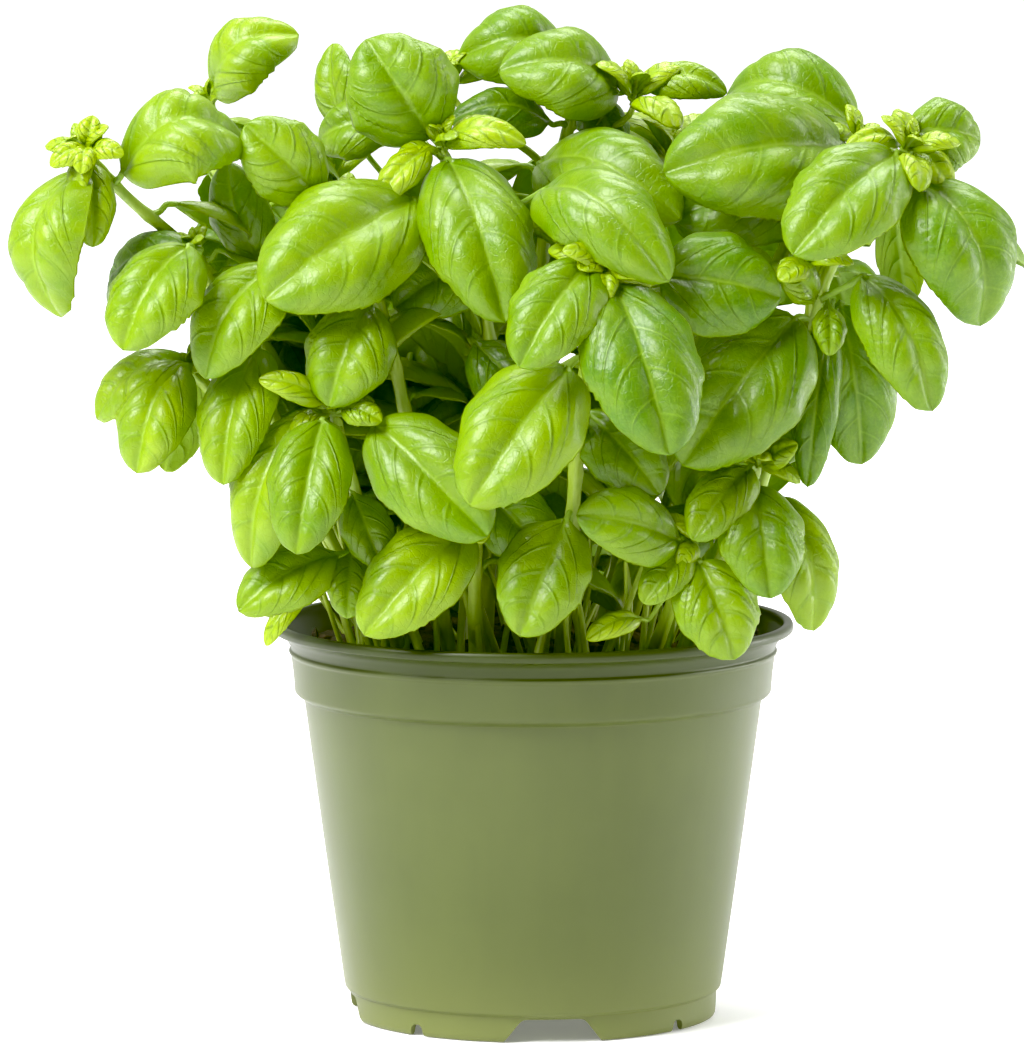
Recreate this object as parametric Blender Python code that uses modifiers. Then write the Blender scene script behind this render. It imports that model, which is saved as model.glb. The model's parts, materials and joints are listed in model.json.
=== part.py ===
"""A pot of basil: a thin moulded pot, its soil, sixteen stems and the leaves they carry.

The frame is +Z up in metres, with the origin on the surface the pot stands on, under the
pot's axis. The front of the plant faces -Y. Lengths in the tables below are millimetres.
"""

import math
from typing import NamedTuple

import bmesh
import bpy
from mathutils import Vector

MM = 0.001
GAP = 0.3

# Pot: a six-inch pot with a rolled lip, a deep band below it and a skirt for a foot.
LIP_RADIUS = 76.0
LIP_TOP = 115.8
LIP_DEPTH = 3.0
BAND_RADIUS = 70.7
BAND_BOTTOM = 94.4
BODY_TOP_RADIUS = 66.8
BODY_BOTTOM_RADIUS = 55.0
SKIRT_TOP = 8.0
SKIRT_RADIUS = 53.8
WALL = 1.2
POT_SIDES = 40

# Openings in the skirt: four wide ones that narrow upward, and four small notches between.
DRAIN_WIDTH_LOW = 30.0
DRAIN_WIDTH_HIGH = 18.0
DRAIN_HEIGHT = 6.7
NOTCH_WIDTH = 4.0
NOTCH_HEIGHT = 3.2
FIRST_DRAIN = math.radians(-83.8)
CUT_DEPTH = 24.0

SOIL_TOP = 108.0

# Stems taper from the foot to the crown; leaf stalks are thinner.
FOOT_RADIUS = 2.3
CROWN_RADIUS = 1.4
STEM_STEP = 14.0
STALK_RADIUS = 0.9

# A leaf blade: where its rings lie along the midrib, and its thickness.
BLADE_RINGS = (0.03, 0.12, 0.28, 0.46, 0.64, 0.81, 0.94)
UPPER = (-1.0, -0.72, -0.38, 0.0, 0.38, 0.72, 1.0)
LOWER = (0.55, 0.0, -0.55)
BLADE_THICKNESS = 0.9
PUFF = 0.10


class Leaf(NamedTuple):
    """A leaf: its height up the stem as a share, where its blade starts and ends, the way its
    upper side faces (turn from the front and tilt up, in degrees), its width, how far its
    midrib arches as a share of its length, and how far its margins bend down, in radians."""

    share: float
    base: tuple
    tip: tuple
    faces: tuple
    width: float
    arch: float
    bend: float


# Each shoot: the route of its stem from the soil up, and its leaves.
SHOOTS = {
    "far_left": (
        ((-34, -10), (-58, -18, 165), (-90, -30, 217), (-113, -44, 240), (-127, -48, 255)),
        (
            Leaf(1.0, (-129, -52, 251), (-134, -60, 210), (-50, 18), 34, 0.32, 0.8),
            Leaf(0.86, (-117, -50, 250), (-82, -44, 258), (0, 52), 42, 0.45, 1.1),
        ),
    ),
    "upper_left": (
        ((-26, 8), (-52, 12, 172), (-82, 14, 233), (-97, 15, 252), (-94, 16, 265)),
        (
            Leaf(1.0, (-93, 14, 269), (-68, 6, 286), (-25, 38), 31, 0.36, 0.9),
            Leaf(0.62, (-84, 20, 226), (-112, 44, 206), (-120, 40), 33, 0.18, 0.7),
        ),
    ),
    "left": (
        ((-42, -26), (-62, -32, 150), (-84, -37, 200), (-97, -48, 228)),
        (
            Leaf(1.0, (-98, -58, 230), (-116, -74, 202), (-20, 25), 31, 0.2, 0.8),
            Leaf(0.62, (-79, -48, 200), (-88, -68, 163), (-20, 20), 25, 0.16, 0.7),
        ),
    ),
    "low_left": (
        ((-46, -12), (-66, -22, 145), (-86, -32, 178), (-98, -38, 193)),
        (Leaf(1.0, (-102, -43, 195), (-113, -56, 165), (-15, 28), 26, 0.2, 0.8),),
    ),
    "centre_left": (
        ((-24, -30), (-35, -40, 172), (-44, -46, 213), (-53, -44, 238)),
        (
            Leaf(0.74, (-47, -53, 213), (-58, -66, 185), (-10, 22), 30, 0.18, 0.8),
            Leaf(0.88, (-73, -50, 224), (-93, -66, 193), (-30, 28), 31, 0.2, 0.7),
        ),
    ),
    "front_left": (
        ((-38, -34), (-46, -46, 140), (-57, -58, 183)),
        (
            Leaf(0.96, (-60, -65, 181), (-67, -83, 145), (-5, 20), 25, 0.12, 0.5),
            Leaf(1.0, (-67, -59, 181), (-80, -66, 139), (-30, 20), 27, 0.18, 0.7),
            Leaf(1.0, (-45, -63, 180), (-13, -82, 150), (-5, 22), 31, 0.12, 0.55),
        ),
    ),
    "crown": (
        ((-14, -24), (-11, -34, 180), (-15, -36, 215), (-26, -32, 256)),
        (
            Leaf(1.0, (-29, -30, 259), (-48, -32, 287), (-10, 22), 35, 0.18, 0.45),
            Leaf(0.97, (-24, -38, 253), (-8, -66, 209), (5, 25), 36, 0.18, 0.75),
            Leaf(0.86, (-34, -44, 242), (-76, -72, 216), (-5, 22), 44, 0.14, 0.8),
            Leaf(0.82, (3, -46, 245), (38, -82, 222), (5, 32), 34, 0.28, 0.9),
        ),
    ),
    "top": (
        ((6, 6), (2, 4, 180), (4, 0, 235), (14, 2, 271)),
        (
            Leaf(1.0, (10, 8, 277), (-22, 0, 279), (-5, 34), 33, 0.42, 0.9),
            Leaf(0.98, (24, -4, 270), (-10, -18, 277), (0, 36), 36, 0.32, 0.9),
            Leaf(0.76, (2, -12, 250), (42, -42, 236), (5, 35), 38, 0.26, 0.9),
        ),
    ),
    "front": (
        ((8, -36), (11, -56, 150), (14, -66, 192), (19, -72, 224)),
        (
            Leaf(0.97, (16, -77, 227), (-4, -93, 199), (-10, 24), 27, 0.14, 0.45),
            Leaf(0.95, (23, -78, 221), (38, -100, 175), (8, 16), 36, 0.13, 0.55),
            Leaf(0.74, (10, -73, 197), (-18, -94, 160), (-5, 20), 36, 0.13, 0.6),
            Leaf(1.0, (36, -66, 223), (70, -63, 216), (0, 20), 33, 0.13, 0.5),
        ),
    ),
    "right_top": (
        ((26, -2), (48, -10, 175), (76, -20, 232), (93, -22, 257)),
        (
            Leaf(1.0, (90, -30, 255), (37, -50, 250), (0, 25), 47, 0.22, 1.0),
            Leaf(1.0, (93, -12, 261), (56, 4, 268), (0, 42), 36, 0.32, 0.8),
            Leaf(0.78, (91, -6, 234), (144, 32, 216), (105, 45), 34, 0.16, 0.7),
        ),
    ),
    "far_right": (
        ((48, -24), (64, -38, 156), (80, -47, 212), (93, -50, 238), (106, -47, 256)),
        (
            Leaf(0.48, (75, -51, 209), (42, -71, 169), (-5, 18), 40, 0.13, 0.6),
            Leaf(0.53, (94, -54, 221), (113, -67, 184), (25, 18), 29, 0.2, 1.0),
            Leaf(0.46, (88, -42, 212), (94, -42, 166), (10, 5), 27, 0.12, 0.5),
            Leaf(0.98, (103, -52, 256), (73, -76, 229), (-5, 28), 33, 0.14, 0.5),
            Leaf(1.0, (107, -37, 261), (128, -31, 258), (0, 30), 26, 0.2, 0.6),
            Leaf(0.9, (111, -46, 248), (127, -54, 207), (30, 20), 41, 0.3, 0.75),
        ),
    ),
    "low_right": (
        ((44, -34), (54, -46, 140), (64, -56, 168)),
        (
            Leaf(0.93, (62, -62, 162), (67, -79, 132), (5, 25), 27, 0.16, 0.55),
            Leaf(0.85, (70, -54, 158), (80, -58, 120), (30, 25), 25, 0.2, 0.8),
        ),
    ),
    "rim_right": (
        ((34, -40), (40, -52, 128), (46, -62, 146)),
        (Leaf(0.9, (47, -67, 141), (57, -75, 114), (5, 32), 26, 0.14, 0.5),),
    ),
    "low_front": (
        ((-16, -40), (-17, -50, 132), (-15, -56, 154)),
        (Leaf(0.95, (-19, -61, 150), (-48, -76, 121), (-5, 28), 28, 0.12, 0.5),),
    ),
    "back_left": (
        ((-16, 26), (-30, 48, 170), (-44, 62, 228)),
        (
            Leaf(1.0, (-50, 66, 229), (-86, 90, 204), (-135, 35), 37, 0.15, 0.6),
            Leaf(1.0, (-40, 68, 228), (-28, 104, 200), (-172, 35), 35, 0.15, 0.6),
            Leaf(0.6, (-40, 56, 184), (-68, 82, 158), (-140, 32), 33, 0.15, 0.6),
        ),
    ),
    "back_right": (
        ((20, 24), (36, 46, 172), (50, 58, 236)),
        (
            Leaf(1.0, (56, 62, 237), (92, 84, 212), (130, 35), 38, 0.15, 0.6),
            Leaf(1.0, (46, 64, 236), (30, 102, 214), (172, 38), 34, 0.15, 0.6),
            Leaf(0.6, (44, 54, 188), (74, 80, 160), (140, 30), 33, 0.15, 0.6),
        ),
    ),
}


def clear_scene():
    for existing in list(bpy.data.objects):
        bpy.data.objects.remove(existing)


def collection(name):
    found = bpy.data.collections.new(name)
    bpy.context.scene.collection.children.link(found)
    return found


def principled(name, colour, roughness):
    made = bpy.data.materials.new(name)
    made.use_nodes = True
    shader = made.node_tree.nodes["Principled BSDF"]
    shader.inputs["Base Color"].default_value = (*colour, 1.0)
    shader.inputs["Roughness"].default_value = roughness
    shader.inputs["Metallic"].default_value = 0.0
    made.diffuse_color = (*colour, 1.0)
    return made


def pot_material():
    return principled("pot_plastic", (0.24, 0.29, 0.10), 0.38)


def soil_material():
    return principled("potting_soil", (0.02, 0.014, 0.01), 0.95)


def stem_material():
    return principled("stem_skin", (0.36, 0.50, 0.12), 0.45)


def leaf_material():
    return principled("leaf_skin", (0.13, 0.36, 0.03), 0.35)


def place(name, data, material, group):
    made = bpy.data.objects.new(name, data)
    made.data.materials.append(material)
    group.objects.link(made)
    return made


def turned(name, profile, material, group):
    """A solid turned about Z. The profile starts and ends on the axis and runs down its outer side."""
    mesh = bpy.data.meshes.new(name)
    points = [Vector((radius, 0.0, height)) * MM for radius, height in profile]
    mesh.from_pydata(points, [(i, i + 1) for i in range(len(points) - 1)], [])
    made = place(name, mesh, material, group)
    screw = made.modifiers.new("turn", "SCREW")
    screw.axis = "Z"
    screw.steps = POT_SIDES
    screw.render_steps = POT_SIDES
    screw.use_merge_vertices = True
    screw.merge_threshold = 0.00001
    screw.use_smooth_shade = True
    return made


def band_radius(height):
    """The outer radius of the band, which narrows a little downward."""
    return BAND_RADIUS - 1.2 * (107.0 - height) / (107.0 - BAND_BOTTOM)


def body_radius(height):
    """The outer radius of the tapered body."""
    rise = (height - SKIRT_TOP) / (BAND_BOTTOM - 0.9 - SKIRT_TOP)
    return BODY_BOTTOM_RADIUS + (BODY_TOP_RADIUS - BODY_BOTTOM_RADIUS) * rise


def pot_outside():
    """The outer side from the lip down to the foot."""
    return [
        (LIP_RADIUS - 0.8, LIP_TOP),
        (LIP_RADIUS, LIP_TOP - 0.9),
        (LIP_RADIUS, LIP_TOP - LIP_DEPTH),
        (72.6, 111.4),
        (BAND_RADIUS, 108.2),
        (BAND_RADIUS + 0.5, 107.0),
        (band_radius(105.8), 105.8),
        (band_radius(BAND_BOTTOM), BAND_BOTTOM),
        (BODY_TOP_RADIUS, BAND_BOTTOM - 0.9),
        (body_radius(50.0), 50.0),
        (BODY_BOTTOM_RADIUS, SKIRT_TOP),
        (SKIRT_RADIUS, SKIRT_TOP - 0.5),
        (SKIRT_RADIUS - 0.2, 0.0),
    ]


def pot_inside():
    """The inner side from the middle of the floor up to the lip."""
    return [
        (0.0, SKIRT_TOP + 1.6),
        (BODY_BOTTOM_RADIUS - WALL - 1.0, SKIRT_TOP + 1.6),
        (body_radius(50.0) - WALL, 50.0),
        (BODY_TOP_RADIUS - WALL, BAND_BOTTOM - 1.0),
        (band_radius(BAND_BOTTOM) - WALL, BAND_BOTTOM + 0.8),
        (BAND_RADIUS - WALL, 107.5),
        (LIP_RADIUS - 3.2, 113.4),
        (LIP_RADIUS - 3.0, LIP_TOP - 0.6),
        (LIP_RADIUS - 2.4, LIP_TOP),
    ]


def pot_underside():
    """The inner side of the skirt and the underside of the floor."""
    inner = SKIRT_RADIUS - 2.0
    return [(inner, 0.0), (inner, SKIRT_TOP - 1.6), (0.0, SKIRT_TOP - 0.4)]


def prism(name, outline, group):
    """A cutter: an outline in XZ drawn out along +Y by CUT_DEPTH."""
    mesh = bpy.data.meshes.new(name)
    model = bmesh.new()
    near = [model.verts.new(Vector((x, 0.0, z)) * MM) for x, z in outline]
    far = [model.verts.new(Vector((x, CUT_DEPTH, z)) * MM) for x, z in outline]
    model.faces.new(near)
    model.faces.new(far)
    for index in range(len(outline)):
        after = (index + 1) % len(outline)
        model.faces.new((near[index], near[after], far[after], far[index]))
    bmesh.ops.recalc_face_normals(model, faces=model.faces)
    model.to_mesh(mesh)
    model.free()
    made = bpy.data.objects.new(name, mesh)
    made.hide_render = True
    made.display_type = "WIRE"
    group.objects.link(made)
    return made


def opening(low, high, height):
    """The outline of an opening in the skirt, from below the foot up to its height."""
    return [(-low / 2, -1.0), (-high / 2, height), (high / 2, height), (low / 2, -1.0)]


def cut_skirt(pot, cutters):
    """Cuts the four wide drain openings and the four notches between them."""
    wide = opening(DRAIN_WIDTH_LOW, DRAIN_WIDTH_HIGH, DRAIN_HEIGHT)
    notch = opening(NOTCH_WIDTH + 1.2, NOTCH_WIDTH, NOTCH_HEIGHT)
    for index in range(8):
        cutter = prism(f"drain_{index + 1}", notch if index % 2 else wide, cutters)
        angle = FIRST_DRAIN + index * math.pi / 4
        cutter.rotation_euler.z = angle - math.pi / 2
        outward = Vector((math.cos(angle), math.sin(angle), 0.0))
        cutter.location = outward * (SKIRT_RADIUS - CUT_DEPTH * 0.6) * MM
        cut = pot.modifiers.new(cutter.name, "BOOLEAN")
        cut.operation = "DIFFERENCE"
        cut.object = cutter


def make_pot(parts, cutters):
    pot = turned("pot", pot_inside() + pot_outside() + pot_underside(), pot_material(), parts)
    cut_skirt(pot, cutters)


def make_soil(parts):
    """The root ball: it fills the pot to just below the lip."""
    inner = WALL + GAP
    profile = [
        (0.0, SOIL_TOP),
        (64.0, SOIL_TOP),
        (BAND_RADIUS - inner - 1.0, SOIL_TOP - 1.6),
        (band_radius(BAND_BOTTOM) - inner - 0.2, BAND_BOTTOM + 1.2),
        (BODY_TOP_RADIUS - inner - 0.2, BAND_BOTTOM - 0.8),
        (body_radius(50.0) - inner - 0.1, 50.0),
        (BODY_BOTTOM_RADIUS - inner - 1.2, SKIRT_TOP + 1.6 + GAP),
        (0.0, SKIRT_TOP + 1.6 + GAP),
    ]
    turned("soil", profile, soil_material(), parts)


def smooth_point(points, share):
    """A point on a smooth curve through all the given points, by share of its spans."""
    spans = len(points) - 1
    index = min(int(share * spans), spans - 1)
    f = share * spans - index
    b, c = points[index], points[index + 1]
    a = points[index - 1] if index > 0 else 2 * b - c
    d = points[index + 2] if index + 2 <= spans else 2 * c - b
    straight = 2 * b + (c - a) * f
    curved = (2 * a - 5 * b + 4 * c - d) * f**2 + (3 * b - a - 3 * c + d) * f**3
    return 0.5 * (straight + curved)


class Stem:
    """A stem's middle line and its thickness, read by share of its height."""

    def __init__(self, route):
        foot = Vector((*route[0], SOIL_TOP))
        lean = (Vector(route[1]) - foot).normalized().xy.length
        foot.z += GAP + FOOT_RADIUS * (lean + 0.1)
        self.points = [foot] + [Vector(point) for point in route[1:]]

    def middle(self, share):
        return smooth_point(self.points, share)

    def along(self, share):
        low, high = max(share - 0.02, 0.0), min(share + 0.02, 1.0)
        return (self.middle(high) - self.middle(low)).normalized()

    def radius(self, share):
        return FOOT_RADIUS + (CROWN_RADIUS - FOOT_RADIUS) * share

    def length(self):
        return sum((b - a).length for a, b in zip(self.points, self.points[1:]))


def make_stem(name, stem, material, group):
    curve = bpy.data.curves.new(name, "CURVE")
    curve.dimensions = "3D"
    curve.bevel_depth = MM
    curve.bevel_resolution = 2
    curve.use_fill_caps = True
    count = max(4, round(stem.length() / STEM_STEP))
    spline = curve.splines.new("POLY")
    spline.points.add(count)
    for index, point in enumerate(spline.points):
        share = index / count
        point.co = (*(stem.middle(share) * MM), 1.0)
        point.radius = stem.radius(share)
    spline.use_smooth = True
    return place(name, curve, material, group)


def direction(turn, tilt):
    """The direction that a turn from the front and a tilt up give, in degrees."""
    turn, tilt = math.radians(turn), math.radians(tilt)
    return Vector((math.sin(turn) * math.cos(tilt), -math.cos(turn) * math.cos(tilt), math.sin(tilt)))


def half_width(share):
    """A leaf's half width along its blade, as a share of its widest."""
    return math.sin(math.pi * share**0.85) ** 0.58


def across(half, bend, v):
    """The sideways reach and the drop of a blade's section at v, from -1 to 1."""
    reach = half * math.sin(v * bend) / bend
    drop = half * (1 - math.cos(v * bend)) / bend
    return reach, drop - PUFF * half * math.sin(math.pi * abs(v)) ** 1.2


def bezier(a, b, c, d, t):
    return a * (1 - t) ** 3 + b * 3 * t * (1 - t) ** 2 + c * 3 * t**2 * (1 - t) + d * t**3


def bezier_slope(a, b, c, d, t):
    slope = (b - a) * (1 - t) ** 2 + (c - b) * 2 * t * (1 - t) + (d - c) * t**2
    return slope.normalized()


def blade_section(middle, side, up, half, bend):
    """One ring of the blade: seven points over the upper side, then three back under it."""
    ring = []
    for v in UPPER:
        reach, drop = across(half, bend, v)
        ring.append(middle + side * reach - up * drop)
    for v in LOWER:
        reach, drop = across(half, bend, v)
        ring.append(middle + side * reach - up * (drop + BLADE_THICKNESS))
    return ring


def stalk_section(middle, side, up, radius):
    """One ring of the stalk, with the blade's number of points."""
    ring = []
    for index in range(len(UPPER)):
        angle = math.pi * (1 - index / (len(UPPER) - 1))
        ring.append(middle + (side * math.cos(angle) + up * math.sin(angle)) * radius)
    for index in range(len(LOWER)):
        angle = -math.pi * (index + 1) / (len(LOWER) + 1)
        ring.append(middle + (side * math.cos(angle) + up * math.sin(angle)) * radius)
    return ring


def leaf_rings(stem, leaf):
    """All rings of a leaf from the stalk's end to just short of the tip, and the tip."""
    base, tip = Vector(leaf.base), Vector(leaf.tip)
    chord = tip - base
    up = direction(*leaf.faces)
    up = (up - chord * up.dot(chord) / chord.length_squared).normalized()
    side = chord.cross(up).normalized()
    lift = up * (chord.length * leaf.arch * 4 / 3)
    rib = (base, base + chord / 3 + lift, tip - chord / 3 + lift, tip)

    hold = stem.middle(leaf.share)
    away = base - hold
    if leaf.share < 1.0:
        trunk = stem.along(leaf.share)
        away = away - trunk * away.dot(trunk)
    away.normalize()
    root = hold + away * (stem.radius(leaf.share) + STALK_RADIUS + GAP)
    start = bezier_slope(*rib, 0.0)
    reach = (base - root).length
    stalk = (root, root + away * reach * 0.35, base - start * reach * 0.35, base)

    rings = []
    for t in (0.0, 0.5, 0.93):
        forward = bezier_slope(*stalk, t)
        level = (side - forward * side.dot(forward)).normalized()
        rings.append(stalk_section(bezier(*stalk, t), level, level.cross(forward), STALK_RADIUS))
    for share in BLADE_RINGS:
        forward = bezier_slope(*rib, share)
        half = max(STALK_RADIUS * 1.2, leaf.width / 2 * half_width(share))
        bend = leaf.bend * (0.35 + 0.65 * half_width(share))
        rings.append(blade_section(bezier(*rib, share), side, side.cross(forward), half, bend))
    return rings, tip


def make_leaf(name, stem, leaf, material, group):
    """A leaf lofted through its rings, closed at the stalk's end and drawn to a point at the tip."""
    rings, tip = leaf_rings(stem, leaf)
    model = bmesh.new()
    rows = [[model.verts.new(point * MM) for point in ring] for ring in rings]
    count = len(rows[0])
    for low, high in zip(rows, rows[1:]):
        for index in range(count):
            after = (index + 1) % count
            model.faces.new((low[index], low[after], high[after], high[index]))
    end = model.verts.new(tip * MM)
    for index in range(count):
        model.faces.new((rows[-1][index], rows[-1][(index + 1) % count], end))
    model.faces.new(list(reversed(rows[0])))
    bmesh.ops.recalc_face_normals(model, faces=model.faces)
    mesh = bpy.data.meshes.new(name)
    model.to_mesh(mesh)
    model.free()
    mesh.shade_smooth()
    return place(name, mesh, material, group)


def make_plant(parts):
    stem_skin, leaf_skin = stem_material(), leaf_material()
    for shoot, (route, leaves) in SHOOTS.items():
        stem = Stem(route)
        make_stem(f"stem_{shoot}", stem, stem_skin, parts)
        for index, leaf in enumerate(leaves):
            make_leaf(f"leaf_{shoot}_{index + 1}", stem, leaf, leaf_skin, parts)


def main():
    clear_scene()
    parts = collection("potted_basil")
    cutters = collection("cutters")
    make_pot(parts, cutters)
    make_soil(parts)
    make_plant(parts)


main()
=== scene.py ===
"""A pot of basil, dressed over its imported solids: the moulded pot, the soil, the stems and the leaves.

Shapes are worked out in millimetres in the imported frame: +Z up, the pot's axis at the origin, the
plant's front towards -Y. A mesh is scaled to metres as it is made.
"""

import json
import math
import random
from typing import NamedTuple

import bmesh
import bpy
import numpy as np
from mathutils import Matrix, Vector

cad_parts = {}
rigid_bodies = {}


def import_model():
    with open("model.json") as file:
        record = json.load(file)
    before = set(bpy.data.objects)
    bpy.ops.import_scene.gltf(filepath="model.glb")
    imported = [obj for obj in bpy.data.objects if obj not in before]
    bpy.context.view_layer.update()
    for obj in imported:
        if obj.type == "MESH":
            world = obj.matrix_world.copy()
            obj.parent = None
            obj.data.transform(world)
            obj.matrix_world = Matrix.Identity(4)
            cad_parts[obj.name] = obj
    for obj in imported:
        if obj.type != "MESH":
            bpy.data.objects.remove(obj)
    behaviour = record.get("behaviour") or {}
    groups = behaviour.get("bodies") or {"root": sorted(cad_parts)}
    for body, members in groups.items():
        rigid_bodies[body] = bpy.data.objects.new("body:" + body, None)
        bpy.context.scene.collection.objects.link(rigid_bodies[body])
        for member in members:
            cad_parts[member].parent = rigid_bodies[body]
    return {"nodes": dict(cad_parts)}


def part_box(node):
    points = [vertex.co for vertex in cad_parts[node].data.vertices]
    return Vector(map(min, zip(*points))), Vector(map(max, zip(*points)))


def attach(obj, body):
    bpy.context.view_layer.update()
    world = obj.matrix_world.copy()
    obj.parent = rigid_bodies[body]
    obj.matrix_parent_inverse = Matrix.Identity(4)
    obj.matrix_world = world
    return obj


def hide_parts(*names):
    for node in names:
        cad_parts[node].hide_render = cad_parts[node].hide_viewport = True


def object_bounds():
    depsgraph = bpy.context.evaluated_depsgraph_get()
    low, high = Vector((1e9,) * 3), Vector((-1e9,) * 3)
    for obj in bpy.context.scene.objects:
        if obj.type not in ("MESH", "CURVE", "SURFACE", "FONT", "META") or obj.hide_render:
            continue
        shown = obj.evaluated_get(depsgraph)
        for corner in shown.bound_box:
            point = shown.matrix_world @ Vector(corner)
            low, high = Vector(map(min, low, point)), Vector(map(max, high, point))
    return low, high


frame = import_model()
CAD_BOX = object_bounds()

MM = 0.001

# Where the rings of a packed leaf lie along its blade, and its points across the upper side.
BLADE_RINGS = (0.03, 0.12, 0.28, 0.46, 0.64, 0.81, 0.94)
ACROSS = (-1.0, -0.72, -0.38, 0.0, 0.38, 0.72, 1.0)
STALK_RINGS = 3
LEAF_RINGS = 1 + len(BLADE_RINGS) + STALK_RINGS
LEAF_SIDES = 10
STEM_SIDES = 8
LEVEL_STEP = 11
PUFF = 0.10

# Side veins: how far they lean towards the tip on their way out and how far they arc there besides,
# where the first one starts, how far apart they are, and how much later those of one side start.
VEIN_LEAN = 0.30
VEIN_ARC = 0.48
VEIN_CURVE = 2.4
FIRST_VEIN = 0.04
VEIN_STEP = 0.25
VEIN_STAGGER = 0.35

FOOT_RADIUS = 2.1
CROWN_RADIUS = 1.45
STALK_RADIUS = 0.95
BLADE_THICKNESS = 0.32

# How closely things stand or are divided.
POT_SIDES = 224
SOIL_SIDES = 220
CRUMBS = 520
SEEDLINGS = 96
SEEDLINGS_ANYWHERE = 46


# ---------------------------------------------------------------- paint


class Value:
    """A number that varies over a surface. Python's operators on it add Math nodes."""

    def __init__(self, paint, socket):
        self.paint = paint
        self.socket = socket

    def math(self, operation, *others):
        node = self.paint.node("ShaderNodeMath", {"operation": operation}, [self, *others])
        return Value(self.paint, node.outputs[0])

    def __add__(self, other):
        return self.math("ADD", other)

    def __mul__(self, other):
        return self.math("MULTIPLY", other)

    def __sub__(self, other):
        return self.math("SUBTRACT", other)

    def __rsub__(self, other):
        return self * -1.0 + other

    def __truediv__(self, other):
        return self.math("DIVIDE", other)

    def __pow__(self, other):
        return self.math("POWER", other)

    __radd__ = __add__
    __rmul__ = __mul__

    def size(self):
        return self.math("ABSOLUTE")

    def over(self, other):
        """1 where it is above other, 0 elsewhere."""
        return self.math("GREATER_THAN", other)

    def kept(self):
        """Held between 0 and 1."""
        return self.math("MINIMUM", 1.0).math("MAXIMUM", 0.0)

    def rise(self, low, high):
        """Goes from 0 at low to 1 at high."""
        return ((self - low) / (high - low)).kept()

    def ridge(self, half):
        """1 where it is 0, and falling away like a bell over half."""
        return (self * self / (-half * half)).math("EXPONENT")


class Paint:
    """A material under construction, or the surround, which is painted the same way."""

    def __init__(self, name, kind="materials"):
        self.material = getattr(bpy.data, kind).new(name)
        self.material.use_nodes = True
        self.tree = self.material.node_tree
        self.tree.nodes.clear()

    def node(self, kind, settings=None, inputs=None):
        """Adds a node: its settings first, then its inputs, as a list in order or a dict by name."""
        made = self.tree.nodes.new(kind)
        for name, setting in (settings or {}).items():
            setattr(made, name, setting)
        pairs = inputs.items() if isinstance(inputs, dict) else enumerate(inputs or [])
        for key, value in pairs:
            self.feed(made.inputs[key], value)
        return made

    def feed(self, socket, value):
        if isinstance(value, Value):
            self.tree.links.new(value.socket, socket)
        elif isinstance(value, bpy.types.NodeSocket):
            self.tree.links.new(value, socket)
        elif isinstance(value, tuple) and len(value) == 3 and socket.type == "RGBA":
            socket.default_value = (*value, 1.0)
        else:
            socket.default_value = value

    def reading(self, attribute):
        """A number stored on the mesh."""
        made = self.node("ShaderNodeAttribute", {"attribute_name": attribute})
        return Value(self, made.outputs["Fac"])

    def place(self):
        """The point on the surface, in metres."""
        return self.node("ShaderNodeTexCoord").outputs["Object"]

    def height(self):
        """How high over the floor the surface is, in millimetres."""
        parts = self.node("ShaderNodeSeparateXYZ", None, [self.place()])
        return Value(self, parts.outputs["Z"]) / MM

    def stretched(self, factors):
        """The point on the surface, scaled along each axis."""
        made = self.node("ShaderNodeVectorMath", {"operation": "MULTIPLY"}, [self.place(), factors])
        return made.outputs[0]

    def noise(self, grain, detail=2.0, place=None):
        """Soft noise whose grains are that many millimetres across."""
        inputs = {"Vector": place or self.place(), "Scale": 1.0 / (grain * MM), "Detail": detail}
        return Value(self, self.node("ShaderNodeTexNoise", None, inputs).outputs["Fac"])

    def cells(self, grain, place=None):
        """The distance to the edge of cells that are that many millimetres across."""
        inputs = {"Vector": place or self.place(), "Scale": 1.0 / (grain * MM)}
        made = self.node("ShaderNodeTexVoronoi", {"feature": "DISTANCE_TO_EDGE"}, inputs)
        return Value(self, made.outputs["Distance"])

    def mix(self, share, a, b, blend="MIX"):
        """Colour a going over to colour b by share."""
        made = self.node("ShaderNodeMix", {"data_type": "RGBA", "blend_type": blend})
        for index, value in ((0, share), (6, a), (7, b)):
            self.feed(made.inputs[index], value)
        return made.outputs[2]

    def bump(self, height, depth, under=None):
        """A bump of that many millimetres."""
        inputs = {"Height": height, "Distance": depth * MM, "Strength": 1.0}
        if under is not None:
            inputs["Normal"] = under
        return self.node("ShaderNodeBump", None, inputs).outputs[0]

    def principled(self, **inputs):
        named = {name.replace("_", " "): value for name, value in inputs.items()}
        return self.node("ShaderNodeBsdfPrincipled", None, named).outputs[0]

    def finished(self, surface):
        self.node("ShaderNodeOutputMaterial", None, {"Surface": surface})
        return self.material


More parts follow.
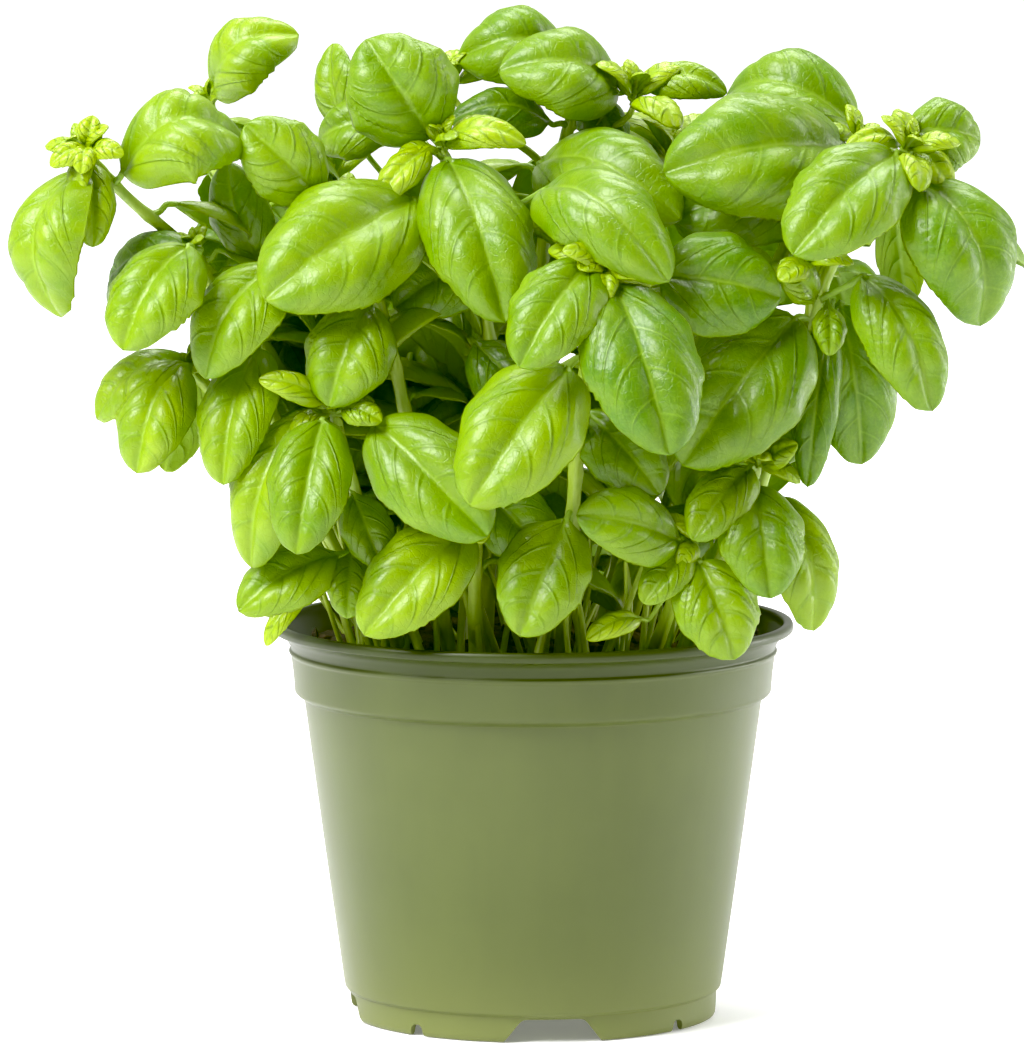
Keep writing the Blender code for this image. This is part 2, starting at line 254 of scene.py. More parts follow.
def pot_plastic():
    """Olive moulded plastic with a satin skin, a fine grain and faint scuffs, with painted shade under
    the lip and down the band and painted bounce light on the foot.
    """
    paint = Paint("olive_pot_plastic")
    cloud = paint.noise(38.0, 3.0)
    streak = paint.noise(9.0, 2.0, paint.stretched((1.0, 1.0, 0.12)))
    colour = paint.mix(cloud.rise(0.35, 0.65), (0.075, 0.094, 0.023), (0.084, 0.105, 0.027))
    colour = paint.mix(streak.rise(0.45, 0.75) * 0.25, colour, (0.096, 0.118, 0.029))
    height = paint.height()
    # Painted shade: darker olive down the band and darkest under the lip, where the leaves and the lip
    # shadow it.
    shade = height.rise(82.0, 108.0) * 0.30 + height.rise(106.5, 108.5) * 0.60
    colour = paint.mix(shade, colour, (0.022, 0.034, 0.002))
    # Painted light: paler olive towards the foot, for the light bounced up off the floor.
    colour = paint.mix(height.rise(60.0, 0.0) ** 3.0 * 0.5, colour, (0.235, 0.262, 0.078))
    grain = paint.noise(0.55, 2.0)
    speck = paint.noise(1.6, 1.0)
    normal = paint.bump(speck, 0.010, paint.bump(grain, 0.006))
    return paint.finished(
        paint.principled(
            Base_Color=colour,
            Roughness=0.34 + 0.10 * cloud + 0.05 * streak,
            Specular_IOR_Level=0.32,
            Coat_Weight=0.08,
            Coat_Roughness=0.2,
            Normal=normal,
        )
    )


def potting_soil():
    """Nearly black peat with brown fibres and a few pale grains."""
    paint = Paint("dark_potting_soil")
    lump = paint.noise(4.0, 4.0)
    fibre = paint.noise(1.2, 3.0, paint.stretched((1.0, 2.2, 1.0)))
    colour = paint.mix(lump.rise(0.35, 0.7), (0.012, 0.008, 0.005), (0.065, 0.040, 0.022))
    colour = paint.mix(fibre.rise(0.62, 0.78) * 0.6, colour, (0.14, 0.088, 0.048))
    normal = paint.bump(fibre, 0.5, paint.bump(lump, 1.2))
    rough = 0.75 + 0.2 * lump
    return paint.finished(paint.principled(Base_Color=colour, Roughness=rough, Normal=normal))


def stem_skin():
    """Pale green, slightly glassy stem with fine lengthwise lines, whiter at the foot."""
    paint = Paint("pale_stem_skin")
    line = paint.noise(0.7, 2.0, paint.stretched((1.0, 1.0, 0.06)))
    blotch = paint.noise(7.0, 2.0)
    youth = paint.reading("youth")
    colour = paint.mix(youth, (0.24, 0.37, 0.018), (0.38, 0.49, 0.055))
    colour = paint.mix(line.rise(0.4, 0.7) * 0.35, colour, (0.42, 0.54, 0.10))
    colour = paint.mix(blotch.rise(0.5, 0.8) * 0.4, colour, (0.13, 0.27, 0.015))
    normal = paint.bump(line, 0.12)
    skin = paint.principled(
        Base_Color=colour,
        Roughness=0.36 + 0.12 * blotch,
        Subsurface_Weight=0.3,
        Subsurface_Radius=(0.9, 1.0, 0.35),
        Subsurface_Scale=0.0022,
        Normal=normal,
    )
    return paint.finished(skin)


def leaf_skin():
    """A basil leaf: glossy and puckered above, paler and matt below, and lit through from behind."""
    paint = Paint("basil_leaf_skin")
    along = paint.reading("along")
    side = paint.reading("side")
    reach = paint.reading("reach")
    under = paint.reading("under")
    youth = paint.reading("youth")
    depth = paint.reading("depth")

    out = side.size()
    sweep = VEIN_LEAN * out + VEIN_ARC * out**VEIN_CURVE
    level = (along - sweep) / (1.0 - sweep)
    phase = (level - FIRST_VEIN) / VEIN_STEP + side.over(0.0) * VEIN_STAGGER
    off = phase.math("PINGPONG", 0.5)
    on_blade = out.rise(0.95, 0.6) * phase.over(-0.3) * level.rise(1.0, 0.7)
    side_vein = off.ridge(0.03) * on_blade
    furrow = off.ridge(0.085) * on_blade * out.rise(0.0, 0.15)
    midrib = reach.ridge(0.5) * along.rise(1.02, 0.7)
    net = paint.cells(2.1).rise(0.10, 0.02)
    mottle = paint.noise(7.0, 3.0)
    grain = paint.noise(0.42, 2.0)
    patch = paint.noise(16.0, 2.0)

    # depth deepens a leaf's green: partly its own darker green, partly painted shade on leaves that sit
    # in shadow; youth makes it paler, on some lit leaves as painted light.
    mature = paint.mix(depth, (0.150, 0.304, 0.0015), (0.038, 0.130, 0.002))
    blade = paint.mix(youth, mature, (0.40, 0.56, 0.004))
    fresh = paint.mix(youth, (0.235, 0.385, 0.002), (0.49, 0.61, 0.008))
    blade = paint.mix(mottle.rise(0.35, 0.7) * 0.45, blade, fresh)
    blade = paint.mix(patch.rise(0.48, 0.72) * 0.45, blade, (0.055, 0.200, 0.001))
    blade = paint.mix(off.rise(0.5, 0.1) * 0.10, blade, (0.25, 0.44, 0.004))
    blade = paint.mix(paint.noise(0.8, 2.0).rise(0.45, 0.7) * 0.20, blade, (0.32, 0.49, 0.02))
    # Painted shade: a darker green in the sunk furrows beside the side veins.
    sunk = paint.mix(youth, (0.045, 0.160, 0.001), (0.20, 0.38, 0.002))
    blade = paint.mix(furrow * 0.36, blade, sunk)
    blade = paint.mix(side_vein * 0.45, blade, (0.32, 0.51, 0.03))
    blade = paint.mix(midrib * 0.55, blade, (0.33, 0.52, 0.05))
    blade = paint.mix(net * 0.06, blade, (0.22, 0.42, 0.01))
    blade = paint.mix(out.rise(0.95, 1.0) * 0.7, blade, (0.36, 0.52, 0.03))
    below = paint.mix(0.45, blade, (0.20, 0.36, 0.05))
    below = paint.mix(side_vein * 0.4 + midrib * 0.5, below, (0.38, 0.55, 0.12))
    colour = paint.mix(under, blade, below)

    quilt = paint.noise(1.3, 1.0)
    relief = grain * 0.2 + quilt * 0.3 - net * 0.22 - furrow * 1.5
    normal = paint.bump(relief, 0.26)
    skin = paint.principled(
        Base_Color=colour,
        Roughness=0.31 + 0.12 * mottle + 0.26 * under + 0.06 * grain,
        Specular_IOR_Level=0.45,
        Coat_Weight=0.30 * (1.0 - under),
        Coat_Roughness=0.2,
        Normal=normal,
    )
    glow = paint.mix(0.5, colour, (0.46, 0.64, 0.0))
    through = paint.node("ShaderNodeBsdfTranslucent", None, {"Color": glow}).outputs[0]
    both = paint.node("ShaderNodeMixShader", None, [0.30, skin, through]).outputs[0]
    return paint.finished(both)


def studio_floor():
    """Near white, and faintly lit from below further out, as a light table is."""
    paint = Paint("pale_studio_floor")
    cloud = paint.noise(900.0, 1.0)
    colour = paint.mix(cloud, (0.93, 0.93, 0.93), (0.96, 0.96, 0.96))
    away = paint.node("ShaderNodeVectorMath", {"operation": "LENGTH"}, [paint.place()])
    far = Value(paint, away.outputs[1]).rise(0.25, 1.3)
    glow = paint.mix(far, (0.18, 0.18, 0.18), (0.8, 0.8, 0.8))
    return paint.finished(
        paint.principled(
            Base_Color=colour, Roughness=0.9, Emission_Color=glow, Emission_Strength=1.0
        )
    )


def white_surround():
    """White to look at, and a softbox all round that is bright behind and dim in front and above."""
    paint = Paint("white_surround", "worlds")
    outward = paint.node("ShaderNodeTexCoord").outputs["Generated"]
    way = paint.node("ShaderNodeSeparateXYZ", None, [outward])
    back, up = Value(paint, way.outputs[1]), Value(paint, way.outputs[2])
    light = 0.2 + 0.8 * back.rise(-0.35, 0.65) * up.rise(0.9, 0.3)
    seen = Value(paint, paint.node("ShaderNodeLightPath").outputs["Is Camera Ray"])
    strength = seen + light * (1.0 - seen)
    glow = paint.node("ShaderNodeBackground", None, {"Color": (1.0, 1.0, 1.0), "Strength": strength})
    paint.node("ShaderNodeOutputWorld", None, [glow.outputs[0]])
    return paint.material


# ---------------------------------------------------------------- shapes


def smooth_weights(knots, places):
    """Weights that carry values at the knots to a smooth curve read at the places, a row for each."""
    count = len(knots)
    gaps = np.diff(knots)
    slopes = np.zeros((count, count))
    for index, gap in enumerate(gaps):
        for knot, other in ((index, index - 1), (index + 1, index + 1)):
            joined = 0 <= other < len(gaps)
            share = gaps[other] / (gap + gaps[other]) if joined else 1.0
            slopes[knot, index] -= share / gap
            slopes[knot, index + 1] += share / gap
    rows = np.zeros((len(places), count))
    for row, place in zip(rows, places):
        index = int(np.clip(np.searchsorted(knots, place, side="right") - 1, 0, count - 2))
        f = (place - knots[index]) / gaps[index]
        row[index] += 2 * f**3 - 3 * f**2 + 1
        row[index + 1] += 3 * f**2 - 2 * f**3
        start, end = f**3 - 2 * f**2 + f, f**3 - f**2
        row += gaps[index] * (start * slopes[index] + end * slopes[index + 1])
    return rows


def unit(vectors):
    return vectors / np.maximum(np.linalg.norm(vectors, axis=-1, keepdims=True), 1e-9)


def swept(path, radii, around, start_side, square=0.0):
    """Rings of a tube along a path, turning no more than the path makes them."""
    forward = unit(np.gradient(path, axis=0))
    angles = np.linspace(0, 2 * math.pi, around, endpoint=False)
    outline = 1.0 + square * np.cos(4 * angles)
    side = np.asarray(start_side, float)
    rings = []
    for middle, ahead, radius in zip(path, forward, radii):
        side = unit(side - ahead * (side @ ahead))
        up = np.cross(side, ahead)
        ring = np.outer(np.cos(angles) * outline, side) + np.outer(np.sin(angles) * outline, up)
        rings.append(middle + ring * radius)
    return np.array(rings)


class Shell:
    """Points and faces of one or more closed lofts, with numbers stored at the points."""

    def __init__(self):
        self.points = []
        self.faces = []
        self.numbers = {}
        self.count = 0

    def loft(self, rings, end=None, **numbers):
        """Closes rings of points into a solid: a flat start, and a flat or pointed end."""
        rows, around = rings.shape[:2]
        first = self.count
        index = np.arange(rows * around).reshape(rows, around) + first
        after = np.roll(index, -1, axis=1)
        quads = np.stack([index[:-1], after[:-1], after[1:], index[1:]], axis=-1).reshape(-1, 4)
        self.faces.extend(quads.tolist())
        self.faces.append(index[0][::-1].tolist())
        self.points.append(rings.reshape(-1, 3))
        total = rows * around
        if end is None:
            self.faces.append(index[-1].tolist())
        else:
            self.points.append(np.asarray(end, float).reshape(1, 3))
            last = first + total
            self.faces.extend([[int(a), int(b), last] for a, b in zip(index[-1], after[-1])])
            total += 1
        for name, value in numbers.items():
            stored = np.zeros(total)
            spread_out = np.broadcast_to(np.asarray(value, float), (rows, around))
            stored[: rows * around] = spread_out.reshape(-1)
            stored[rows * around :] = stored[rows * around - 1]
            self.numbers.setdefault(name, []).append(stored)
        self.count += total

    def made(self, name, material, slot, *nodes):
        """The finished piece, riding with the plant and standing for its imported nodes."""
        mesh = bpy.data.meshes.new(name)
        mesh.from_pydata((np.concatenate(self.points) * MM).tolist(), [], self.faces)
        for key, values in self.numbers.items():
            stored = mesh.attributes.new(key, "FLOAT", "POINT")
            stored.data.foreach_set("value", np.concatenate(values).astype(np.float32))
        mesh.shade_smooth()
        return placed(name, mesh, material, slot, *nodes)


def placed(name, mesh, material, slot, *nodes):
    piece = bpy.data.objects.new(name, mesh)
    piece.data.materials.append(material)
    bpy.context.scene.collection.objects.link(piece)
    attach(piece, "root")
    if nodes:
        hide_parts(*nodes)
    return piece


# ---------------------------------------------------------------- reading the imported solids


def welded(node):
    """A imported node's corners in millimetres, and for each corner the ones it shares an edge with."""
    mesh = frame["nodes"][node].data
    found, points, home = {}, [], []
    for vertex in mesh.vertices:
        key = tuple(round(value / (0.01 * MM)) for value in vertex.co)
        if key not in found:
            found[key] = len(points)
            points.append(np.array(vertex.co) / MM)
        home.append(found[key])
    beside = [set() for _ in points]
    for edge in mesh.edges:
        a, b = (home[index] for index in edge.vertices)
        if a != b:
            beside[a].add(b)
            beside[b].add(a)
    return np.array(points), beside


def rings_from(start, beside):
    """The corners in rings, each ring one edge further from the start."""
    seen = set(start)
    rings = [sorted(start)]
    while rings[-1]:
        ring = set().union(*(beside[corner] for corner in rings[-1])) - seen
        seen |= ring
        rings.append(sorted(ring))
    return rings[:-1]


def in_order(ring, beside):
    """A ring's corners in their order round the loop."""
    members = set(ring)
    loop = [ring[0]]
    while len(loop) < len(ring):
        ahead = [corner for corner in beside[loop[-1]] if corner in members and corner not in loop]
        loop.append(ahead[0])
    return loop


def upper_points(ring, points, beside):
    """The seven points of a blade ring's upper side, margin to margin, and its underside's middle."""
    loop = in_order(ring, beside)
    span = len(ACROSS) - 1
    starts = range(LEAF_SIDES)
    widths = [np.linalg.norm(points[loop[i]] - points[loop[(i + span) % LEAF_SIDES]]) for i in starts]
    first = int(np.argmax(widths))
    turned = loop[first:] + loop[:first]
    return points[turned[: span + 1]], points[turned[span + 1 :]].mean(axis=0)


def level_middle(points, beside, level):
    """The middle of a packed tube where a level plane cuts it."""
    cuts = []
    for corner, others in enumerate(beside):
        for other in others:
            low, high = points[corner], points[other]
            if low[2] <= level < high[2]:
                cuts.append(low + (high - low) * (level - low[2]) / (high[2] - low[2]))
    return (np.min(cuts, axis=0) + np.max(cuts, axis=0)) / 2


class Stem:
    """A stem read from its packed tube: its middle line from the foot up."""

    def __init__(self, node):
        self.node = node
        points, beside = welded(node)
        rising = points[np.argsort(points[:, 2])]
        foot, end = rising[:STEM_SIDES].mean(axis=0), rising[-STEM_SIDES:].mean(axis=0)
        count = max(4, round((end[2] - foot[2]) / LEVEL_STEP))
        levels = np.linspace(foot[2], end[2], count)[1:-1]
        self.line = np.array([foot, *(level_middle(points, beside, level) for level in levels), end])
        gone = np.concatenate([[0.0], np.linalg.norm(np.diff(self.line, axis=0), axis=1).cumsum()])
        self.length = gone[-1]
        self.knots = gone / self.length
        self.joints = []

    def at(self, share):
        return (smooth_weights(self.knots, [share]) @ self.line)[0]

    def along(self, share):
        low, high = max(share - 0.03, 0.0), min(share + 0.03, 1.0)
        return unit(self.at(high) - self.at(low))

    def nearest(self, point):
        """The share of its height that lies nearest to a point."""
        shares = np.linspace(0.0, 1.0, 201)
        line = smooth_weights(self.knots, shares) @ self.line
        return float(shares[np.argmin(np.linalg.norm(line - point, axis=1))])


class Blade(NamedTuple):
    """The net of points that a leaf's upper side passes through, from its base to its tip, and the
    points that its stalk passes through from the stem to the base."""

    net: np.ndarray
    stalk: np.ndarray


def packed_blade(node):
    """Reads a leaf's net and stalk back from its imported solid."""
    points, beside = welded(node)
    for corner in range(len(points)):
        rings = rings_from([corner], beside)
        if len(rings) == LEAF_RINGS and all(len(ring) == LEAF_SIDES for ring in rings[1:]):
            break
    tip, rings = points[rings[0][0]], rings[:0:-1]
    middles = [points[ring].mean(axis=0) for ring in rings[:STALK_RINGS]]
    rows, bellies = zip(*(upper_points(ring, points, beside) for ring in rings[STALK_RINGS:]))
    rows = list(rows)
    for index in range(1, len(rows)):
        kept = np.linalg.norm(rows[index][0] - rows[index - 1][0])
        swapped = np.linalg.norm(rows[index][-1] - rows[index - 1][0])
        if swapped < kept:
            rows[index] = rows[index][::-1]
    widest = len(rows) // 2
    across = rows[widest][-1] - rows[widest][0]
    ahead = rows[widest + 1][3] - rows[widest - 1][3]
    if np.cross(across, ahead) @ (rows[widest][3] - bellies[widest]) < 0:
        rows = [row[::-1] for row in rows]
    base = (middles[-1] + rows[0][3]) / 2
    net = np.array([[base] * len(ACROSS), *rows, [tip] * len(ACROSS)])
    away = unit(middles[1] - middles[0])
    return Blade(net, np.array([middles[0] - away * 2.6, *middles, base]))


def direction(turn, tilt):
    """The direction that a turn from the front and a tilt up give, in degrees."""
    turn, tilt = math.radians(turn), math.radians(tilt)
    return np.array([math.sin(turn) * math.cos(tilt), -math.cos(turn) * math.cos(tilt), math.sin(tilt)])


def half_width(share):
    """A leaf's half width along its blade, as a share of its widest."""
    return math.sin(math.pi * share**0.85) ** 0.58


def bezier(a, b, c, d, t):
    return a * (1 - t) ** 3 + b * 3 * t * (1 - t) ** 2 + c * 3 * t**2 * (1 - t) + d * t**3


def bezier_slope(a, b, c, d, t):
    return unit((b - a) * (1 - t) ** 2 + (c - b) * 2 * t * (1 - t) + (d - c) * t**2)


def grown_blade(hold, base, tip, up, width, arch, bend):
    """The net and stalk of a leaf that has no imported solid: it holds on to a stem at hold."""
    base, tip = np.asarray(base, float), np.asarray(tip, float)
    chord = tip - base
    length = np.linalg.norm(chord)
    up = unit(up - chord * (up @ chord) / length**2)
    side = unit(np.cross(chord, up))
    lift = up * (length * arch * 4 / 3)
    rib = (base, base + chord / 3 + lift, tip - chord / 3 + lift, tip)
    rows = []
    for share in BLADE_RINGS:
        above = np.cross(side, bezier_slope(*rib, share))
        half = width / 2 * half_width(share)
        curl = bend * (0.35 + 0.65 * half_width(share))
        middle = bezier(*rib, share)
        row = []
        for v in ACROSS:
            puff = PUFF * half * math.sin(math.pi * abs(v)) ** 1.2
            drop = half * (1 - math.cos(v * curl)) / curl - puff
            row.append(middle + side * half * math.sin(v * curl) / curl - above * drop)
        rows.append(row)
    net = np.array([[base] * len(ACROSS), *rows, [tip] * len(ACROSS)])
    start = bezier_slope(*rib, 0.0)
    gap = np.linalg.norm(base - hold)
    leaving = hold + unit(base - hold) * gap * 0.35
    joining = base - start * gap * 0.35
    return Blade(net, np.array([hold, leaving, (leaving + joining) / 2, joining, base]))


# ---------------------------------------------------------------- leaves


class Grain(NamedTuple):
    """How finely a leaf is made: rows along the blade, and points across it."""

    rows: int
    across: int


FINE = Grain(70, 31)
SMALL = Grain(44, 21)
SHADED = Grain(28, 15)
TINY = Grain(16, 11)


def vein_phase(along, side):
    """Counts the side veins: whole numbers lie on a vein."""
    out = np.abs(side)
    sweep = VEIN_LEAN * out + VEIN_ARC * out**VEIN_CURVE
    level = (along - sweep) / (1.0 - sweep)
    return np.maximum((level - FIRST_VEIN) / VEIN_STEP + (side > 0) * VEIN_STAGGER, -0.5)


def spread(count, edge):
    """Places from -1 to 1, closer together towards the margins and the midrib."""
    even = np.linspace(-1.0, 1.0, count)
    return even * (1 - edge) + np.sin(even * math.pi / 2) * edge


def vein_distance(along, side):
    """How far a point is from the nearest side vein, as a share of the step between veins."""
    return np.abs((vein_phase(along, side) + 0.5) % 1.0 - 0.5)


def veined(s, v):
    """1 where the side veins stand out, fading at the midrib, the margins and the base."""
    out = np.abs(v)
    return np.clip(out / 0.12, 0, 1) * np.clip((1.04 - out) / 0.4, 0, 1) * np.clip(s / 0.15, 0, 1)


def spans_of(surface):
    """The width of each row of a grid of points."""
    return np.linalg.norm(np.diff(surface, axis=1), axis=2).sum(axis=1)


def smooth_blade(net, along, side):
    """A blade's upper side as a smooth grid of points, widened to a basil leaf's outline."""
    knots = np.array([0.0, *BLADE_RINGS, 1.0])
    surface = np.einsum("sk,kjx->sjx", smooth_weights(knots, along), net)
    surface = np.einsum("vj,sjx->svx", smooth_weights(np.array(ACROSS), side), surface)
    spans = spans_of(surface)
    outline = np.sin(math.pi * along**0.86) ** 0.5
    stretch = np.clip(outline / (spans / spans.max()), 0.8, 2.0)[:, None, None]
    rib_line = surface[:, len(side) // 2][:, None]
    return rib_line + (surface - rib_line) * stretch


def relief(s, v, reach, width, pucker, chance):
    """How far a blade's upper side stands off its smooth form: lumps between the side veins, a
    domed half on each side of the sunk midrib, wavy margins and a slow unevenness."""
    out = np.abs(v)
    middle = np.sin(math.pi * np.clip(s, 0, 1)) ** 0.5
    quilt = 1.0 - np.exp(-((vein_distance(s, v) / 0.15) ** 1.5))
    lump = width * 0.021 * pucker * chance.uniform(0.8, 1.25)
    height = lump * (quilt - 0.8) * veined(s, v) * middle
    height += width * 0.040 * np.sin(math.pi * out) ** 0.8 * middle
    groove = np.exp(-((reach / 1.1) ** 2)) * (1 - s) ** 0.4
    height -= 0.45 * min(1.0, width / 25) * groove
    shift, beat = chance.uniform(0, 6.28), chance.uniform(2.2, 3.6)
    wave = np.sin(2 * math.pi * beat * s + shift + 1.4 * np.sign(v)) * out**3 * middle
    height += width * 0.016 * wave
    for order in (1, 2):
        turn = chance.uniform(0, 6.28)
        height += width * 0.012 / order * np.sin(order * (3.1 * s + 2.3 * v) + turn) * middle
    return height


def toothing(s, v, length, width, chance):
    """How far the margin's shallow teeth reach out."""
    teeth = max(6, round(length / 4.4))
    uneven = 0.35 * np.sin(17.0 * s + chance.uniform(0, 6.28) + 2.0 * np.sign(v))
    saw = (s * teeth + uneven + chance.random()) % 1.0
    bite = (np.minimum(saw / 0.8, (1 - saw) / 0.2) - 0.5) * np.clip((s - 0.3) / 0.25, 0, 1)
    deep = 0.6 + 0.4 * np.sin(9.0 * s + chance.uniform(0, 6.28))
    rim = np.clip((np.abs(v) - 0.88) / 0.12, 0, 1) ** 2
    return rim * bite * deep * min(0.85, 0.024 * width)


def thickness(s, v, reach, width):
    """How thick a blade is: thin at the margins, with the midrib and side veins raised below."""
    rib = 1.35 * min(1.0, width / 30) * (1 - s) ** 0.8
    rib = rib * np.exp(-((reach / (0.45 + 0.6 * (1 - s))) ** 2))
    middle = np.sin(math.pi * np.clip(s, 0, 1)) ** 0.5
    ridge = 0.22 * np.exp(-((vein_distance(s, v) / 0.09) ** 2)) * veined(s, v) * middle
    return BLADE_THICKNESS * (1 - np.abs(v) ** 8) + rib + ridge


def stalk_rings(stalk, side_way, width, across):
    """The rings of a leaf's stalk, thicker where it leaves the stem and channelled above. They
    have the corners of a blade's ring: those above from side to side, then those below."""
    steps = np.linspace(0.0, 0.94, 12)
    path = smooth_weights(np.linspace(0.0, 1.0, len(stalk)), steps) @ stalk
    radii = STALK_RADIUS * min(1.0, 0.45 + width / 50) * (1.0 + 0.9 * np.exp(-steps / 0.10))
    over, below = np.linspace(math.pi, 0, across), -np.linspace(0, math.pi, across)[1:-1]
    angles = np.concatenate([over, below])
    channel = np.where(np.sin(angles) > 0.75, 0.86, 1.0)
    rings = []
    for centre, ahead, radius in zip(path, unit(np.gradient(path, axis=0)), radii):
        level = unit(side_way - ahead * (side_way @ ahead))
        above = np.cross(level, ahead)
        ring = np.outer(np.cos(angles), level) + np.outer(np.sin(angles) * channel, above)
        rings.append(centre + radius * ring)
    return np.array(rings)


def add_leaf(shell, blade, grain, seed, youth=0.0, depth=0.3, pucker=1.0):
    """Adds a leaf to the shell: its stalk and its thin, puckered blade as one closed loft."""
    chance = random.Random(seed)
    along = np.linspace(0.0, 1.0, grain.rows + 2)[1:-1]
    along = along - 0.05 * np.sin(2 * math.pi * along) / (2 * math.pi)
    side = spread(grain.across, 0.45)
    surface = smooth_blade(blade.net, along, side)
    s, v = np.meshgrid(along, side, indexing="ij")
    length = np.linalg.norm(np.diff(blade.net[:, 3], axis=0), axis=1).sum()
    spans = spans_of(surface)
    width = spans.max()
    reach = np.abs(v) * (spans / 2)[:, None]
    normal = unit(np.cross(np.gradient(surface, axis=1), np.gradient(surface, axis=0)))
    outward = np.cross(unit(np.gradient(surface, axis=0)), normal) * np.sign(v)[..., None]

    height = relief(s, v, reach, width, pucker, chance)
    surface = surface + outward * toothing(s, v, length, width, chance)[..., None]
    top = surface + normal * height[..., None]
    bottom = top - normal * thickness(s, v, reach, width)[..., None]
    back = slice(-2, 0, -1)
    rings = np.concatenate([top, bottom[:, back]], axis=1)
    tubes = stalk_rings(blade.stalk, unit(top[0, -1] - top[0, 0]), width, len(side))
    all_rings = np.concatenate([tubes, rings])
    around = all_rings.shape[1]

    def stored(stalk_value, over, below=None):
        below = over if below is None else below
        blade_part = np.concatenate([over, below[:, back]], axis=1)
        return np.concatenate([np.full((len(tubes), around), float(stalk_value)), blade_part])

    shell.loft(
        all_rings[:, ::-1],
        blade.net[-1, 0] + normal[-1, 0] * height[-1].mean(),
        along=stored(0.0, s)[:, ::-1],
        side=stored(0.0, v)[:, ::-1],
        reach=stored(0.0, reach)[:, ::-1],
        under=stored(0.35, np.zeros_like(s), np.ones_like(s))[:, ::-1],
        youth=np.full(all_rings.shape[:2], youth),
        depth=np.full(all_rings.shape[:2], depth),
    )


class Sprig(NamedTuple):
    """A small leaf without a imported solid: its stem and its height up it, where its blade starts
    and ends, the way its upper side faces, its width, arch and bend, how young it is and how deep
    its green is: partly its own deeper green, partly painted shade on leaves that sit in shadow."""

    stem: str
    share: float
    base: tuple
    tip: tuple
    faces: tuple
    width: float
    arch: float = 0.15
    bend: float = 0.6
    youth: float = 0.2
    depth: float = 0.3


